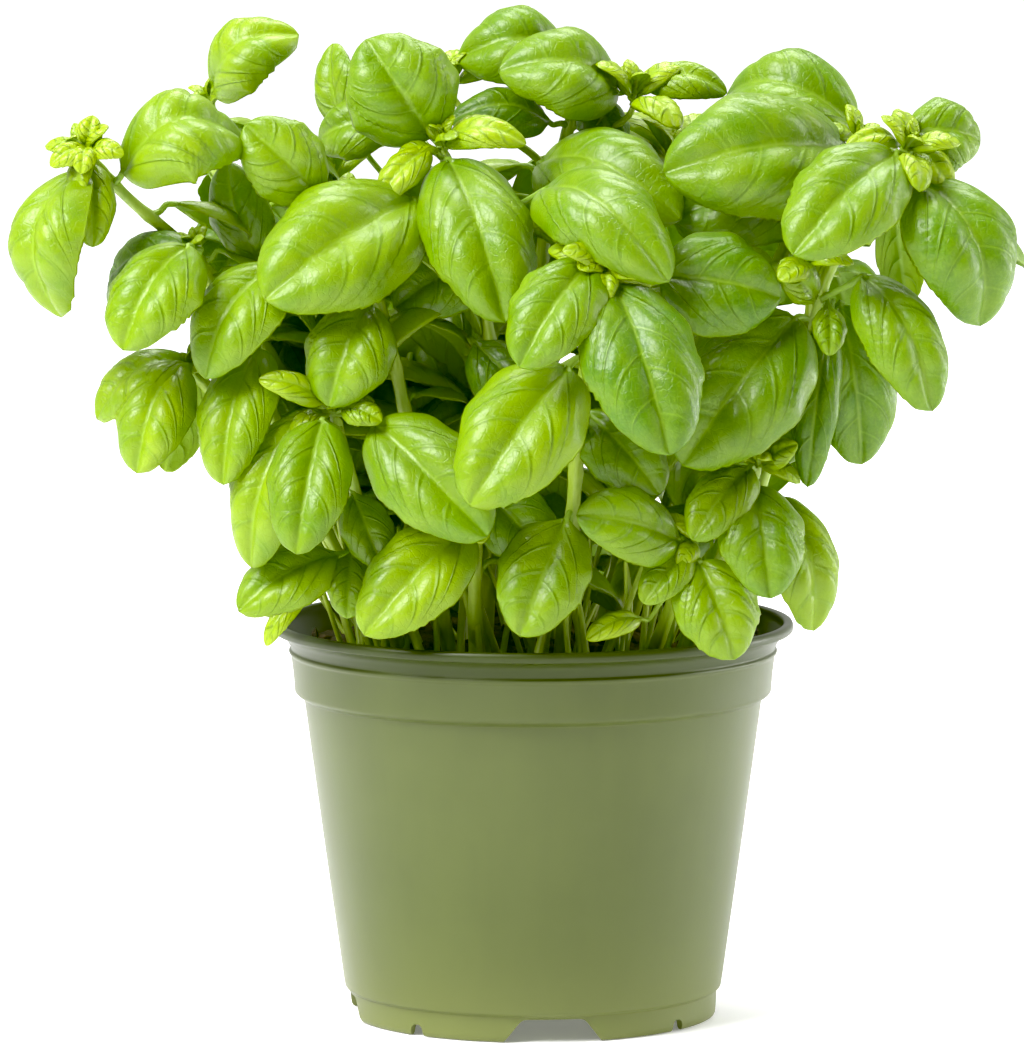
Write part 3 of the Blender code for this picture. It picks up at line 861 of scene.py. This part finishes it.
SPRIGS = (
    ("far_left", 0.97, (-126, -52, 253), (-125, -61, 230), (5, 10), 15, 0.12, 0.6, 0.5),
    ("left", 0.95, (-98, -51, 229), (-121, -34, 212), (-60, 40), 26, 0.25, 0.8, 0.0, 0.8),
    ("low_left", 0.95, (-98, -38, 195), (-125, -42, 179), (-40, 45), 27, 0.25, 0.8, 0.45, 0.0),
    ("low_left", 0.97, (-97, -33, 190), (-106, -26, 162), (170, 10), 16, 0.1, 0.5, 0.9, 0.0),
    ("far_left", 0.60, (-79, -36, 224), (-88, -34, 252), (-25, 0), 21, 0.12, 0.5, 0.1, 0.6),
    ("centre_left", 0.97, (-61, -46, 244), (-82, -50, 264), (-15, 25), 25, 0.15, 0.5, 0.25),
    ("crown", 0.93, (-52, -8, 258), (-58, -2, 284), (-60, 20), 22, 0.15, 0.5, 0.3),
    ("crown", 0.98, (-40, -20, 262), (-62, -12, 256), (10, 30), 22, 0.3, 0.8, 0.2, 0.5),
    ("crown", 0.99, (-25, -34, 258), (-2, -42, 258), (10, 42), 14, 0.28, 0.8, 0.8),
    ("crown", 0.98, (-30, -37, 256), (-44, -46, 242), (-10, 30), 13, 0.2, 0.7, 0.9),
    ("top", 0.93, (4, -4, 262), (-24, -12, 262), (0, 44), 22, 0.25, 1.0, 0.0, 1.0),
    ("top", 0.96, (16, 2, 268), (24, -8, 252), (20, 30), 18, 0.2, 0.8, 0.0, 0.9),
    ("top", 0.97, (32, -4, 273), (56, -8, 270), (0, 52), 17, 0.22, 0.9, 0.3),
    ("right_top", 0.93, (86, -22, 246), (40, -34, 236), (5, 32), 36, 0.16, 0.8, 0.05, 0.6),
    ("far_right", 0.90, (104, -26, 238), (108, -14, 208), (180, 10), 15, 0.1, 0.4, 1.0, 0.0),
    ("far_right", 0.50, (84, -47, 206), (78, -56, 161), (-8, 8), 15, 0.12, 0.9, 0.0, 0.9),
    ("far_right", 0.55, (80, -50, 214), (70, -58, 226), (-10, 30), 13, 0.2, 0.7, 0.35),
    ("far_right", 0.52, (84, -52, 212), (84, -60, 199), (10, 30), 11, 0.2, 0.7, 0.4),
    ("low_right", 0.97, (61, -61, 167), (45, -76, 148), (-10, 28), 19, 0.14, 0.6, 0.25),
    ("low_right", 0.98, (66, -58, 168), (75, -62, 174), (20, 40), 10, 0.2, 0.7, 0.6),
    ("rim_right", 0.97, (41, -66, 147), (12, -82, 156), (0, 28), 24, 0.14, 0.5, 0.15),
    ("rim_right", 0.98, (44, -66, 144), (31, -76, 130), (-5, 30), 14, 0.14, 0.5, 0.3),
    ("rim_right", 0.62, (30, -60, 124), (15, -70, 119), (0, 40), 10, 0.2, 0.8, 0.8, 0.0),
    ("front", 0.36, (9, -66, 152), (-4, -78, 121), (0, 22), 27, 0.10, 0.45, 0.3),
    ("low_front", 0.98, (-13, -58, 160), (4, -66, 141), (0, 20), 23, 0.12, 0.5, 0.0, 0.7),
    ("front_left", 0.42, (-57, -52, 141), (-84, -62, 126), (-15, 38), 24, 0.16, 0.7, 0.35),
    ("front_left", 0.40, (-52, -53, 141), (-53, -62, 124), (0, 30), 14, 0.14, 0.5, 0.25),
    ("front_left", 0.55, (-51, -54, 158), (-43, -60, 138), (0, 20), 16, 0.12, 0.5, 0.15, 0.6),
    ("front_left", 0.99, (-60, -61, 186), (-78, -66, 193), (-10, 40), 11, 0.2, 0.8, 0.7),
    ("front_left", 0.99, (-54, -62, 184), (-43, -68, 181), (10, 40), 11, 0.2, 0.8, 0.5),
    ("crown", 0.74, (-13, -34, 224), (-40, -42, 211), (0, 36), 26, 0.16, 0.6, 0.05, 0.7),
    ("front", 0.60, (16, -56, 182), (36, -66, 160), (0, 26), 24, 0.14, 0.5, 0.1, 0.7),
    ("crown", 0.55, (-16, -38, 200), (0, -44, 180), (5, 30), 22, 0.14, 0.5, 0.0, 0.9),
    ("low_right", 0.60, (50, -42, 152), (33, -52, 139), (0, 30), 20, 0.15, 0.6, 0.0, 0.9),
    ("upper_left", 0.55, (-78, 2, 214), (-70, -12, 190), (0, 30), 26, 0.15, 0.6, 0.0, 0.9),
    ("front", 0.99, (18, -75, 226), (8, -83, 231), (-10, 40), 9, 0.25, 0.8, 0.85),
    ("front", 0.99, (21, -75, 226), (33, -82, 224), (10, 35), 11, 0.25, 0.8, 0.85),
    ("front", 0.99, (20, -76, 225), (21, -84, 217), (0, 20), 8, 0.25, 0.8, 0.8),
    ("far_left", 0.99, (-126, -55, 257), (-137, -60, 253), (-10, 40), 10, 0.28, 0.8, 0.95),
    ("far_left", 0.99, (-126, -55, 257), (-116, -60, 256), (10, 40), 9, 0.28, 0.8, 0.9),
    ("far_left", 0.99, (-127, -55, 258), (-128, -63, 251), (0, 25), 9, 0.28, 0.8, 0.9),
    ("far_left", 0.99, (-127, -53, 258), (-125, -54, 267), (0, 0), 9, 0.28, 0.8, 0.9),
    ("front_left", 0.16, (-66, -34, 127), (-77, -38, 113), (-30, 20), 8, 0.2, 0.6, 1.0),
    ("far_right", 0.99, (104, -37, 258), (89, -46, 257), (0, 50), 11, 0.25, 0.8, 0.9),
    ("far_right", 0.99, (108, -39, 256), (119, -47, 245), (10, 40), 12, 0.25, 0.8, 0.9),
    ("crown", 0.62, (-22, 0, 216), (-40, -12, 178), (-5, 24), 32, 0.14, 0.6, 0.05, 0.7),
    ("top", 0.58, (-2, 2, 218), (-9, -14, 180), (5, 24), 32, 0.14, 0.6, 0.0, 0.8),
    ("crown", 0.40, (-13, -8, 190), (-28, -22, 156), (-8, 24), 28, 0.14, 0.6, 0.1, 0.6),
    ("centre_left", 0.55, (-38, 0, 200), (-54, -18, 160), (-8, 26), 30, 0.14, 0.6, 0.1, 0.55),
    ("right_top", 0.40, (30, -6, 192), (30, -26, 152), (5, 26), 34, 0.14, 0.6, 0.45, 0.3),
    ("right_top", 0.36, (44, -14, 178), (54, -34, 144), (8, 26), 28, 0.14, 0.6, 0.3, 0.4),
    ("far_right", 0.42, (66, -24, 200), (72, -44, 166), (10, 26), 30, 0.14, 0.6, 0.1, 0.6),
    ("top", 0.30, (4, -16, 166), (2, -34, 134), (0, 26), 26, 0.14, 0.6, 0.05, 0.7),
    ("left", 0.60, (-72, -6, 200), (-80, -24, 168), (-10, 26), 30, 0.14, 0.6, 0.0, 0.7),
    ("upper_left", 0.72, (-82, 2, 238), (-90, -16, 212), (-10, 26), 28, 0.14, 0.6, 0.0, 0.8),
    ("low_left", 0.70, (-78, -18, 176), (-74, -36, 146), (-5, 26), 26, 0.14, 0.6, 0.1, 0.6),
)


# Thin side shoots: the stem that each leaves, its height up it, where it ends, and its leaves' size.
SIDE_SHOOTS = (
    ("top", 0.84, (29, -9, 268), 19),
    ("top", 0.80, (-24, 2, 272), 17),
    ("far_right", 0.62, (78, -52, 224), 14),
    ("right_top", 0.55, (40, 10, 250), 20),
    ("back_left", 0.7, (-60, 40, 240), 20),
    ("back_right", 0.7, (20, 50, 236), 20),
)


# How long the crown leaves of some shoots are.
CROWN_SIZE = 12
CROWN_SIZES = {
    "far_left": 15,
    "far_right": 16,
    "front": 15,
    "crown": 15,
    "top": 14,
    "low_left": 9,
    "left": 9,
}


def add_crown(shell, top, turn, size, seed):
    """The youngest leaves at a shoot's end: crossed pairs, smaller and steeper inward, leaning out."""
    chance = random.Random(seed)
    lean = Vector((top[0] * 0.006, top[1] * 0.006 - 0.25, 1.0))
    turned_out = np.array(Vector((0, 0, 1)).rotation_difference(lean).to_matrix())
    for pair, (length, tilt) in enumerate(((1.0, 2), (0.78, 30), (0.5, 56), (0.28, 78))):
        for half in (0, 180):
            heading = turn + 90 * pair + half + chance.uniform(-14, 14)
            steep = tilt + chance.uniform(-8, 8)
            ahead = turned_out @ direction(heading, steep)
            above = turned_out @ direction(heading, steep + 90)
            reach = size * length * chance.uniform(0.85, 1.15)
            base = top + ahead * reach * 0.12 + np.array([0, 0, 0.8 * pair])
            tip = base + ahead * reach
            blade = grown_blade(top - [0, 0, 1], base, tip, above, reach * 0.74, 0.24, 0.9)
            add_leaf(shell, blade, TINY, f"{seed}{pair}{half}", 0.7 + 0.08 * pair, 0.0, 1.3)


# How young and how deep a green the large leaves are, on some shoots and one by one: partly their own
# tones, partly painted light and painted shade.
LEAF_AGE = (0.12, 0.3)
# Painted light: the left-hand shoots, where the key light falls, are made younger and so paler, and a
# lighter green.
SHOOT_AGES_AND_PAINTED_LIGHT = {
    "far_left": (0.3, 0.1),
    "upper_left": (0.3, 0.1),
    "left": (0.25, 0.1),
    "low_left": (0.35, 0.1),
    "centre_left": (0.2, 0.15),
}
# Besides age: painted light on lit leaves, made younger and so paler, and painted shade on shadowed
# ones, made a deeper green.
LEAF_AGES_LIGHT_AND_SHADE = {
    "leaf_far_left_1": (0.35, 0.1),
    "leaf_upper_left_1": (0.45, 0.0),
    "leaf_left_2": (0.3, 0.1),
    "leaf_low_left_1": (0.6, 0.0),
    "leaf_crown_3": (0.25, 0.1),
    "leaf_front_3": (0.3, 0.1),
    "leaf_front_left_2": (0.4, 0.0),
    "leaf_low_front_1": (0.45, 0.0),
    "leaf_rim_right_1": (0.35, 0.1),
    "leaf_low_right_2": (0.4, 0.1),
    "leaf_front_2": (0.0, 0.65),
    "leaf_far_right_1": (0.05, 0.5),
    "leaf_far_right_3": (0.0, 0.6),
    "leaf_far_right_6": (0.0, 0.45),
    "leaf_front_4": (0.0, 0.6),
}


def leaf_pieces(stems, skin):
    """The large leaves, one piece for each packed leaf."""
    for node in sorted(name for name in frame["nodes"] if name.startswith("leaf_")):
        shoot = node[len("leaf_") :].rsplit("_", 1)[0]
        blade = packed_blade(node)
        stem = stems[shoot]
        stem.joints.append(stem.nearest(blade.stalk[1]))
        youth, depth = LEAF_AGES_LIGHT_AND_SHADE.get(node, SHOOT_AGES_AND_PAINTED_LIGHT.get(shoot, LEAF_AGE))
        shell = Shell()
        add_leaf(shell, blade, FINE, node, youth, depth)
        shell.made(node + "_blade", skin, "leaf_skin", node)


def sprig_pieces(stems, skin):
    """The smaller leaves that show, joined into one piece for each stem."""
    shells = {}
    for index, row in enumerate(SPRIGS):
        sprig = Sprig(*row)
        stem = stems[sprig.stem]
        shell = shells.setdefault(sprig.stem, Shell())
        hold = stem.at(sprig.share)
        stem.joints.append(sprig.share)
        above = direction(*sprig.faces)
        blade = grown_blade(hold, sprig.base, sprig.tip, above, sprig.width, sprig.arch, sprig.bend)
        add_leaf(shell, blade, SMALL, f"sprig{index}", sprig.youth, sprig.depth)
    for turn, (shoot, stem) in enumerate(sorted(stems.items())):
        size = CROWN_SIZES.get(shoot, CROWN_SIZE)
        add_crown(shells.setdefault(shoot, Shell()), stem.at(1.0), 40 * turn, size, shoot)
    for turn, (shoot, _, end, size) in enumerate(SIDE_SHOOTS):
        add_crown(shells[shoot], np.array(end, float), 70 * turn + 20, size, f"side{turn}")
    for shoot, shell in sorted(shells.items()):
        shell.made(f"small_leaves_{shoot}", skin, "leaf_skin")


def shaded_pieces(stems, skin):
    """The leaves inside the bush and round its back, in crossed pairs up each stem."""
    low, high = (np.array(corner) / MM for corner in CAD_BOX)
    for shoot, stem in sorted(stems.items()):
        chance = random.Random("shaded" + shoot)
        shell = Shell()
        pairs = max(3, round(stem.length / 17))
        for pair in range(pairs):
            share = 0.30 + 0.62 * pair / max(1, pairs - 1)
            hold = stem.at(share)
            turn = 90 * pair + chance.uniform(0, 50)
            for half in (0, 180):
                heading = math.radians(turn + half + chance.uniform(-25, 25))
                ahead = np.array([math.sin(heading), -math.cos(heading), 0.0])
                if ahead[1] < -0.25 or hold[2] < 128:
                    continue
                length = chance.uniform(26, 42)
                droop = chance.uniform(-1.1, -0.1)
                base = hold + ahead * chance.uniform(6, 11) + [0, 0, 3]
                tip = base + (ahead + [0, 0, droop]) * length
                room = 52 + (min(tip[2], 230) - 110) * 0.5
                outside = np.any(tip < low + 4) or np.any(tip > high - 4)
                if outside or tip[1] < -48 or np.hypot(*tip[:2]) > room:
                    continue
                above = np.array([0, 0, 1.0]) + ahead * 0.4
                width = length * chance.uniform(0.6, 0.75)
                blade = grown_blade(hold, base, tip, above, width, 0.16, 0.7)
                stem.joints.append(share)
                youth, depth = chance.uniform(0.2, 0.6), chance.uniform(0, 0.3)
                add_leaf(shell, blade, SHADED, f"{shoot}{pair}{half}", youth, depth)
        if shell.count:
            shell.made(f"inner_leaves_{shoot}", skin, "leaf_skin")


# The stems behind that carry outer leaves: the height of the first pair, and which way the pairs
# look, in degrees from straight back.
OUTER_PAIRS = (
    ("back_left", 0.22, -14),
    ("back_right", 0.18, 16),
    ("top", 0.42, 4),
    ("upper_left", 0.25, -34),
    ("right_top", 0.22, 34),
    ("far_right", 0.30, 62),
    ("far_left", 0.34, -64),
    ("left", 0.34, -40),
    ("low_left", 0.36, -36),
)


def outer_pieces(stems, skin):
    """The larger leaves round the back, in pairs that hang outward from the stems behind."""
    low, high = (np.array(corner) / MM for corner in CAD_BOX)
    for shoot, first, turn in OUTER_PAIRS:
        stem = stems[shoot]
        chance = random.Random("outer" + shoot)
        shell = Shell()
        for pair, share in enumerate(np.arange(first, 0.93, 0.135)):
            hold = stem.at(share)
            for half in (-1, 1):
                heading = math.radians(turn + half * (62 if pair % 2 else 24) + chance.uniform(-12, 12))
                ahead = np.array([math.sin(heading), math.cos(heading), 0.0])
                length = chance.uniform(36, 50) * (0.8 if share > 0.85 else 1.0)
                droop = chance.uniform(-0.95, -0.35)
                base = hold + ahead * chance.uniform(10, 20) + [0, 0, chance.uniform(1, 7)]
                tip = base + unit(ahead + [0, 0, droop]) * length
                side_room = 64 + (min(tip[2], 230) - 110) * 0.44
                if abs(tip[0]) > side_room or tip[1] > high[1] - 5 or tip[2] < 112 or tip[2] > 255:
                    continue
                above = np.array([0, 0, 1.0]) + ahead * 0.5
                width = length * chance.uniform(0.62, 0.74)
                blade = grown_blade(hold, base, tip, above, width, 0.15, 0.7)
                stem.joints.append(share)
                youth, depth = chance.uniform(0.1, 0.45), chance.uniform(0, 0.4)
                add_leaf(shell, blade, SMALL, f"outer{shoot}{pair}{half}", youth, depth)
        shell.made(f"outer_leaves_{shoot}", skin, "leaf_skin")


# ---------------------------------------------------------------- stems


def stem_pieces(stems, skin):
    """Each stem as a slightly square stalk that swells where leaves join, down into the soil."""
    for shoot, stem in sorted(stems.items()):
        steps = max(60, round(stem.length / 1.1))
        shares = np.linspace(0.0, 1.0, steps)
        line = smooth_weights(stem.knots, shares) @ stem.line
        radii = FOOT_RADIUS + (CROWN_RADIUS - FOOT_RADIUS) * shares
        swell = [np.exp(-(((shares - joint) * stem.length / 2.2) ** 2)) for joint in stem.joints]
        radii = radii * (1 + 0.18 * np.max(swell, axis=0))
        chance = random.Random(stem.node)
        for order in (1, 2, 3):
            radii = radii * (1 + 0.02 * np.sin(order * 9 * shares + chance.uniform(0, 6.28)))
        sink = np.array([line[0] - [0, 0, 6], line[0] - [0, 0, 3]])
        line = np.concatenate([sink, line])
        radii = np.concatenate([radii[:1] * 1.1, radii[:1] * 1.05, radii])
        radii[-3:] *= (0.9, 0.7, 0.4)
        shell = Shell()
        rings = swept(line, radii, 20, (1.0, 0.0, 0.0), 0.07)
        youth = np.linspace(0.5, 0.2, len(rings))[:, None]
        shell.loft(rings, youth=np.broadcast_to(youth, rings.shape[:2]))
        for side_shoot in SIDE_SHOOTS:
            if side_shoot[0] == shoot:
                add_side_shoot(shell, stem, *side_shoot[1:3])
        shell.made(stem.node + "_stalk", skin, "stem_skin", stem.node)


def add_side_shoot(shell, stem, share, end):
    """A thin shoot that leaves a stem steeply and ends under its young leaves."""
    start, end = stem.at(share), np.array(end, float)
    rise = np.array([0, 0, np.linalg.norm(end - start) * 0.4])
    steps = np.linspace(0, 1, 30)[:, None]
    line = bezier(start, start + stem.along(share) * rise[2], end - rise * 0.8, end, steps)
    rings = swept(line, np.linspace(1.25, 0.8, 30), 12, (1.0, 0.0, 0.0), 0.05)
    shell.loft(rings, youth=np.full(rings.shape[:2], 0.6))


def seedling_pieces(skin, green, soil_top):
    """The thin pale stems that crowd at the soil, and the first leaves of those that stand free."""
    chance = random.Random(17)
    shell, leaves = Shell(), Shell()
    for number in range(SEEDLINGS):
        angle, radius = chance.uniform(0, 2 * math.pi), 58 * math.sqrt(chance.random())
        if number >= SEEDLINGS_ANYWHERE:
            angle, radius = chance.uniform(-3.5, -0.3), chance.uniform(40, 57)
        foot = np.array([radius * math.cos(angle), radius * math.sin(angle), soil_top - 4])
        lean = [chance.uniform(-14, 14), chance.uniform(-12, 12), chance.uniform(26, 48)]
        lean = np.array(lean)
        lean[:2] += foot[:2] * 0.18
        if foot[1] < -20:
            lean[1] = chance.uniform(6, 18)
        elif foot[1] > 0:
            lean[2] *= 0.62
        middle = foot + lean * 0.5 + [chance.uniform(-3, 3), chance.uniform(-3, 3), 2]
        shares = np.linspace(0, 1, 22)
        weights = smooth_weights(np.array([0.0, 0.5, 1.0]), shares)
        line = weights @ np.array([foot, middle, foot + lean])
        thick = chance.uniform(0.7, 1.35)
        radii = thick * (1.05 - 0.35 * shares)
        radii[-2:] *= (0.8, 0.45)
        rings = swept(line, radii, 10, (1.0, 0.0, 0.0), 0.05)
        shell.loft(rings, youth=np.full(rings.shape[:2], chance.uniform(0.6, 1.0)))
        if foot[1] > 6 and number % 3:
            for half in (0, 180):
                heading = 50 * number + half + chance.uniform(-20, 20)
                size = chance.uniform(9, 17)
                ahead = direction(heading, chance.uniform(-20, 20))
                base = line[-2] + ahead * 2.5
                tip = base + ahead * size
                if np.hypot(*tip[:2]) < 70:
                    above = direction(heading, 80)
                    blade = grown_blade(line[-3], base, tip, above, size * 0.72, 0.18, 0.8)
                    add_leaf(leaves, blade, TINY, f"seedling{number}{half}", 0.5, 0.1)
    shell.made("seedling_stems", skin, "stem_skin")
    leaves.made("seedling_leaves", green, "leaf_skin")


# ---------------------------------------------------------------- pot and soil


def rounded(corners, steps=6):
    """An outline with its corners rounded off: each corner is (radius, height, rounding)."""
    outline = []
    count = len(corners)
    for index, (x, z, fillet) in enumerate(corners):
        here = np.array([x, z], float)
        if fillet == 0 or index in (0, count - 1):
            outline.append(here)
            continue
        before = np.array(corners[index - 1][:2], float) - here
        after = np.array(corners[index + 1][:2], float) - here
        back = min(fillet, 0.49 * np.linalg.norm(before), 0.49 * np.linalg.norm(after))
        start, end = here + unit(before) * back, here + unit(after) * back
        for t in np.linspace(0, 1, steps):
            outline.append(start * (1 - t) ** 2 + here * 2 * t * (1 - t) + end * t**2)
    return np.array(outline)


def turned(name, outline, sides):
    """A mesh turned about Z from an outline that starts and ends on the axis."""
    mesh = bpy.data.meshes.new(name)
    angles = np.linspace(0, 2 * math.pi, sides, endpoint=False)
    body = outline[1:-1]
    ring = np.stack([np.cos(angles), np.sin(angles)], axis=-1)
    level = np.broadcast_to(body[:, 1][:, None, None], (len(body), sides, 1))
    points = np.concatenate([body[:, 0][:, None, None] * ring, level], axis=2)
    index = np.arange(len(body) * sides).reshape(len(body), sides)
    after = np.roll(index, -1, axis=1)
    faces = np.stack([index[:-1], index[1:], after[1:], after[:-1]], axis=-1).reshape(-1, 4).tolist()
    first, last = len(body) * sides, len(body) * sides + 1
    faces += [[first, int(a), int(b)] for a, b in zip(index[0], after[0])]
    faces += [[last, int(b), int(a)] for a, b in zip(index[-1], after[-1])]
    ends = [[0, 0, outline[0][1]], [0, 0, outline[-1][1]]]
    mesh.from_pydata((np.concatenate([points.reshape(-1, 3), ends]) * MM).tolist(), [], faces)
    return mesh


def pot_outline(lip, top):
    """Down the inside, over the lip, down the outside to the foot, and under the floor."""
    inside = [
        (0, 9.6, 0),
        (52.8, 9.6, 2.0),
        (59.4, 50.0, 8),
        (65.5, 93.4, 1.0),
        (68.3, 95.2, 1.0),
        (69.4, top - 8.4, 1.2),
        (lip - 3.1, top - 2.6, 1.6),
        (lip - 2.9, top - 0.5, 0.5),
    ]
    outside = [
        (lip - 1.9, top, 0.6),
        (lip - 0.5, top - 0.15, 0.7),
        (lip, top - 1.2, 0.8),
        (lip - 0.1, top - 2.9, 0.6),
        (lip - 1.4, top - 3.25, 0.6),
        (lip - 3.9, top - 4.8, 1.6),
        (lip - 5.2, top - 7.4, 1.2),
        (lip - 5.25, top - 8.0, 0.3),
        (lip - 4.75, top - 8.5, 0.5),
        (lip - 4.75, top - 9.2, 0.5),
        (lip - 5.35, top - 9.9, 0.5),
        (lip - 6.1, top - 15.5, 4),
        (lip - 6.45, top - 20.9, 0.9),
        (lip - 9.15, top - 22.4, 0.5),
        (61.0, 50.2, 8),
        (55.4, 10.5, 3),
        (55.0, 8.2, 0.5),
        (53.8, 7.4, 0.4),
        (53.8, 1.2, 0.5),
        (53.3, 0.0, 0.5),
    ]
    under = [(52.2, 0.0, 0.4), (51.8, 0.8, 0.4), (51.8, 6.4, 0.6), (0, 7.6, 0)]
    return rounded(inside + outside + under)


# How near the axis a cutter starts, and how far out it ends, in metres.
CUT_REACH = (0.038, 0.064)


def skirt_cutter(name, low, high, height, angle):
    """A block with rounded upper corners that cuts one opening out of the skirt."""
    left = [(-low / 2 - 1, -2.0, 0), (-low / 2, -1.0, 0), (-high / 2, height, 1.6)]
    right = [(high / 2, height, 1.6), (low / 2, -1.0, 0), (low / 2 + 1, -2.0, 0)]
    outline = rounded(left + right, 7)
    model = bmesh.new()
    near, far = ([model.verts.new((x * MM, y, z * MM)) for x, z in outline] for y in CUT_REACH)
    model.faces.new(near)
    model.faces.new(far)
    for index in range(len(outline)):
        after = (index + 1) % len(outline)
        model.faces.new((near[index], near[after], far[after], far[index]))
    bmesh.ops.recalc_face_normals(model, faces=model.faces)
    mesh = bpy.data.meshes.new(name)
    model.to_mesh(mesh)
    model.free()
    made = bpy.data.objects.new(name, mesh)
    made.rotation_euler.z = angle - math.pi / 2
    made.hide_render = True
    made.display_type = "WIRE"
    bpy.context.scene.collection.objects.link(made)
    return made


# Where the first of the skirt's openings looks, and the two shapes that take turns round it: the
# width below and above, and the height.
FIRST_DRAIN = math.radians(96.2)
DRAIN_SHAPES = ((30.0, 18.0, 6.7), (5.2, 3.6, 3.3))
DRAINS = 8


def pot_piece(plastic):
    low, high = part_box("pot")
    lip, top = (high.x - low.x) / 2 / MM, high.z / MM
    mesh = turned("pot_moulding", pot_outline(lip, top), POT_SIDES)
    piece = placed("pot_moulding", mesh, plastic, "pot_plastic", "pot")
    for index in range(DRAINS):
        angle = FIRST_DRAIN + index * 2 * math.pi / DRAINS
        cutter = skirt_cutter(f"drain_cutter_{index + 1}", *DRAIN_SHAPES[index % 2], angle)
        cut = piece.modifiers.new(f"drain_{index + 1}", "BOOLEAN")
        cut.operation = "DIFFERENCE"
        cut.object = cutter
    evaluated = piece.evaluated_get(bpy.context.evaluated_depsgraph_get())
    finished = bpy.data.meshes.new_from_object(evaluated)
    piece.modifiers.clear()
    piece.data = finished
    finished.shade_smooth()
    finished.set_sharp_from_angle(angle=math.radians(35))
    for cutter in [o for o in bpy.data.objects if o.name.startswith("drain_cutter_")]:
        bpy.data.objects.remove(cutter)
    return piece


def soil_lumps(x, y):
    """The height of the soil's lumps over a point."""
    return (
        1.3 * np.sin(x * 0.11 + 1.0) * np.sin(y * 0.13 + 0.4)
        + 0.8 * np.sin(x * 0.31 + 2.0 * np.sin(y * 0.17)) * np.cos(y * 0.29)
        + 0.45 * np.sin(x * 0.83 + 1.3) * np.sin(y * 0.77 + 2.1 * np.sin(x * 0.4))
        + 0.25 * np.sin(x * 1.9 + y * 0.7) * np.sin(y * 2.1 - x * 0.5)
    )


def soil_piece(dirt):
    """The root ball with its lumpy top."""
    low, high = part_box("soil")
    top = high.z / MM
    radii = np.linspace(0, 68.4, 70)[1:]
    outline = [(0, top, 0)] + [(r, top, 0) for r in radii]
    outline += [(68.0, 97.0, 1), (65.0, 92.5, 1), (59.0, 50.0, 2), (52.0, 11.0, 2)]
    outline += [(52.0, 10.0, 0), (0, 10.0, 0)]
    mesh = turned("soil_ball", rounded(outline), SOIL_SIDES)
    for vertex in mesh.vertices:
        x, y, z = (value / MM for value in vertex.co)
        if z > top - 0.5:
            fade = min(1.0, (70.5 - math.hypot(x, y)) / 6)
            vertex.co.z += (soil_lumps(x, y) * fade + 0.4) * MM
    mesh.shade_smooth()
    placed("soil_ball", mesh, dirt, "potting_soil", "soil")
    return top


def crumb_piece(dirt, top):
    """Loose crumbs lying on the soil."""
    chance = random.Random(5)
    model = bmesh.new()
    for _ in range(CRUMBS):
        radius = 67.5 * math.sqrt(chance.random())
        angle = chance.uniform(0, 2 * math.pi)
        x, y = radius * math.cos(angle), radius * math.sin(angle)
        size = chance.choice((0.7, 0.9, 1.2, 1.6, 2.2)) * chance.uniform(0.8, 1.2)
        made = bmesh.ops.create_icosphere(model, subdivisions=1, radius=size * MM)
        squash = [chance.uniform(0.6, 1.3) for _ in range(3)]
        for vertex in made["verts"]:
            rough = 1 + chance.uniform(-0.28, 0.28)
            for axis in range(3):
                vertex.co[axis] *= squash[axis] * rough
            vertex.co += Vector((x, y, top + float(soil_lumps(x, y)) + 0.3 + size * 0.35)) * MM
    mesh = bpy.data.meshes.new("soil_crumbs")
    model.to_mesh(mesh)
    model.free()
    placed("soil_crumbs", mesh, dirt, "potting_soil")


# ---------------------------------------------------------------- studio


def area_light(name, place, aim, size, power):
    data = bpy.data.lights.new(name, "AREA")
    data.shape = "RECTANGLE"
    data.size, data.size_y = size
    data.energy = power
    lamp = bpy.data.objects.new(name, data)
    lamp.location = place
    lamp.rotation_euler = (Vector(aim) - Vector(place)).to_track_quat("-Z", "Y").to_euler()
    bpy.context.scene.collection.objects.link(lamp)


def studio(middle):
    """A pale floor, a white surround and large soft lights."""
    bpy.ops.mesh.primitive_plane_add(size=24.0, location=(0, 0, -0.0002))
    floor = bpy.context.object
    floor.name = "studio_floor"
    floor.data.materials.append(studio_floor())
    scene = bpy.context.scene
    scene.world = white_surround()
    scene.view_settings.view_transform = "Standard"
    scene.view_settings.use_curve_mapping = True
    scene.view_settings.curve_mapping.black_level = (0.003, -0.002, 0.017)
    area_light("key_light", (-0.9, -0.7, 1.25), middle, (0.9, 0.9), 48.0)
    area_light("side_light", (1.4, 0.1, 0.6), middle, (0.5, 1.2), 13.0)
    area_light("low_light", (1.2, 0.55, 0.1), (0.07, 0.0, 0.06), (0.3, 0.3), 3.5)
    area_light("top_light", (0.1, 0.5, 1.5), middle, (0.9, 0.9), 26.0)


CAMERA_DISTANCE = 2.6
CAMERA_RISE = math.radians(6.8)


def camera(middle):
    data = bpy.data.cameras.new("view_from_front")
    data.lens = 303.0
    data.sensor_width = 36.0
    data.clip_end = 30.0
    made = bpy.data.objects.new("view_from_front", data)
    aim = middle + Vector((-4.5, -1.5, -4.8)) * MM
    back = Vector((0.0, -math.cos(CAMERA_RISE), math.sin(CAMERA_RISE)))
    made.location = aim + back * CAMERA_DISTANCE
    made.rotation_euler = (-back).to_track_quat("-Z", "Y").to_euler()
    bpy.context.scene.collection.objects.link(made)
    bpy.context.scene.camera = made


def main():
    middle = (CAD_BOX[0] + CAD_BOX[1]) / 2
    camera(middle)
    studio(middle)
    pot_piece(pot_plastic())
    dirt = potting_soil()
    soil_top = soil_piece(dirt)
    crumb_piece(dirt, soil_top)
    stems = {node[len("stem_") :]: Stem(node) for node in frame["nodes"] if node.startswith("stem_")}
    green, pale = leaf_skin(), stem_skin()
    leaf_pieces(stems, green)
    sprig_pieces(stems, green)
    shaded_pieces(stems, green)
    outer_pieces(stems, green)
    stem_pieces(stems, pale)
    seedling_pieces(pale, green, soil_top)


main()
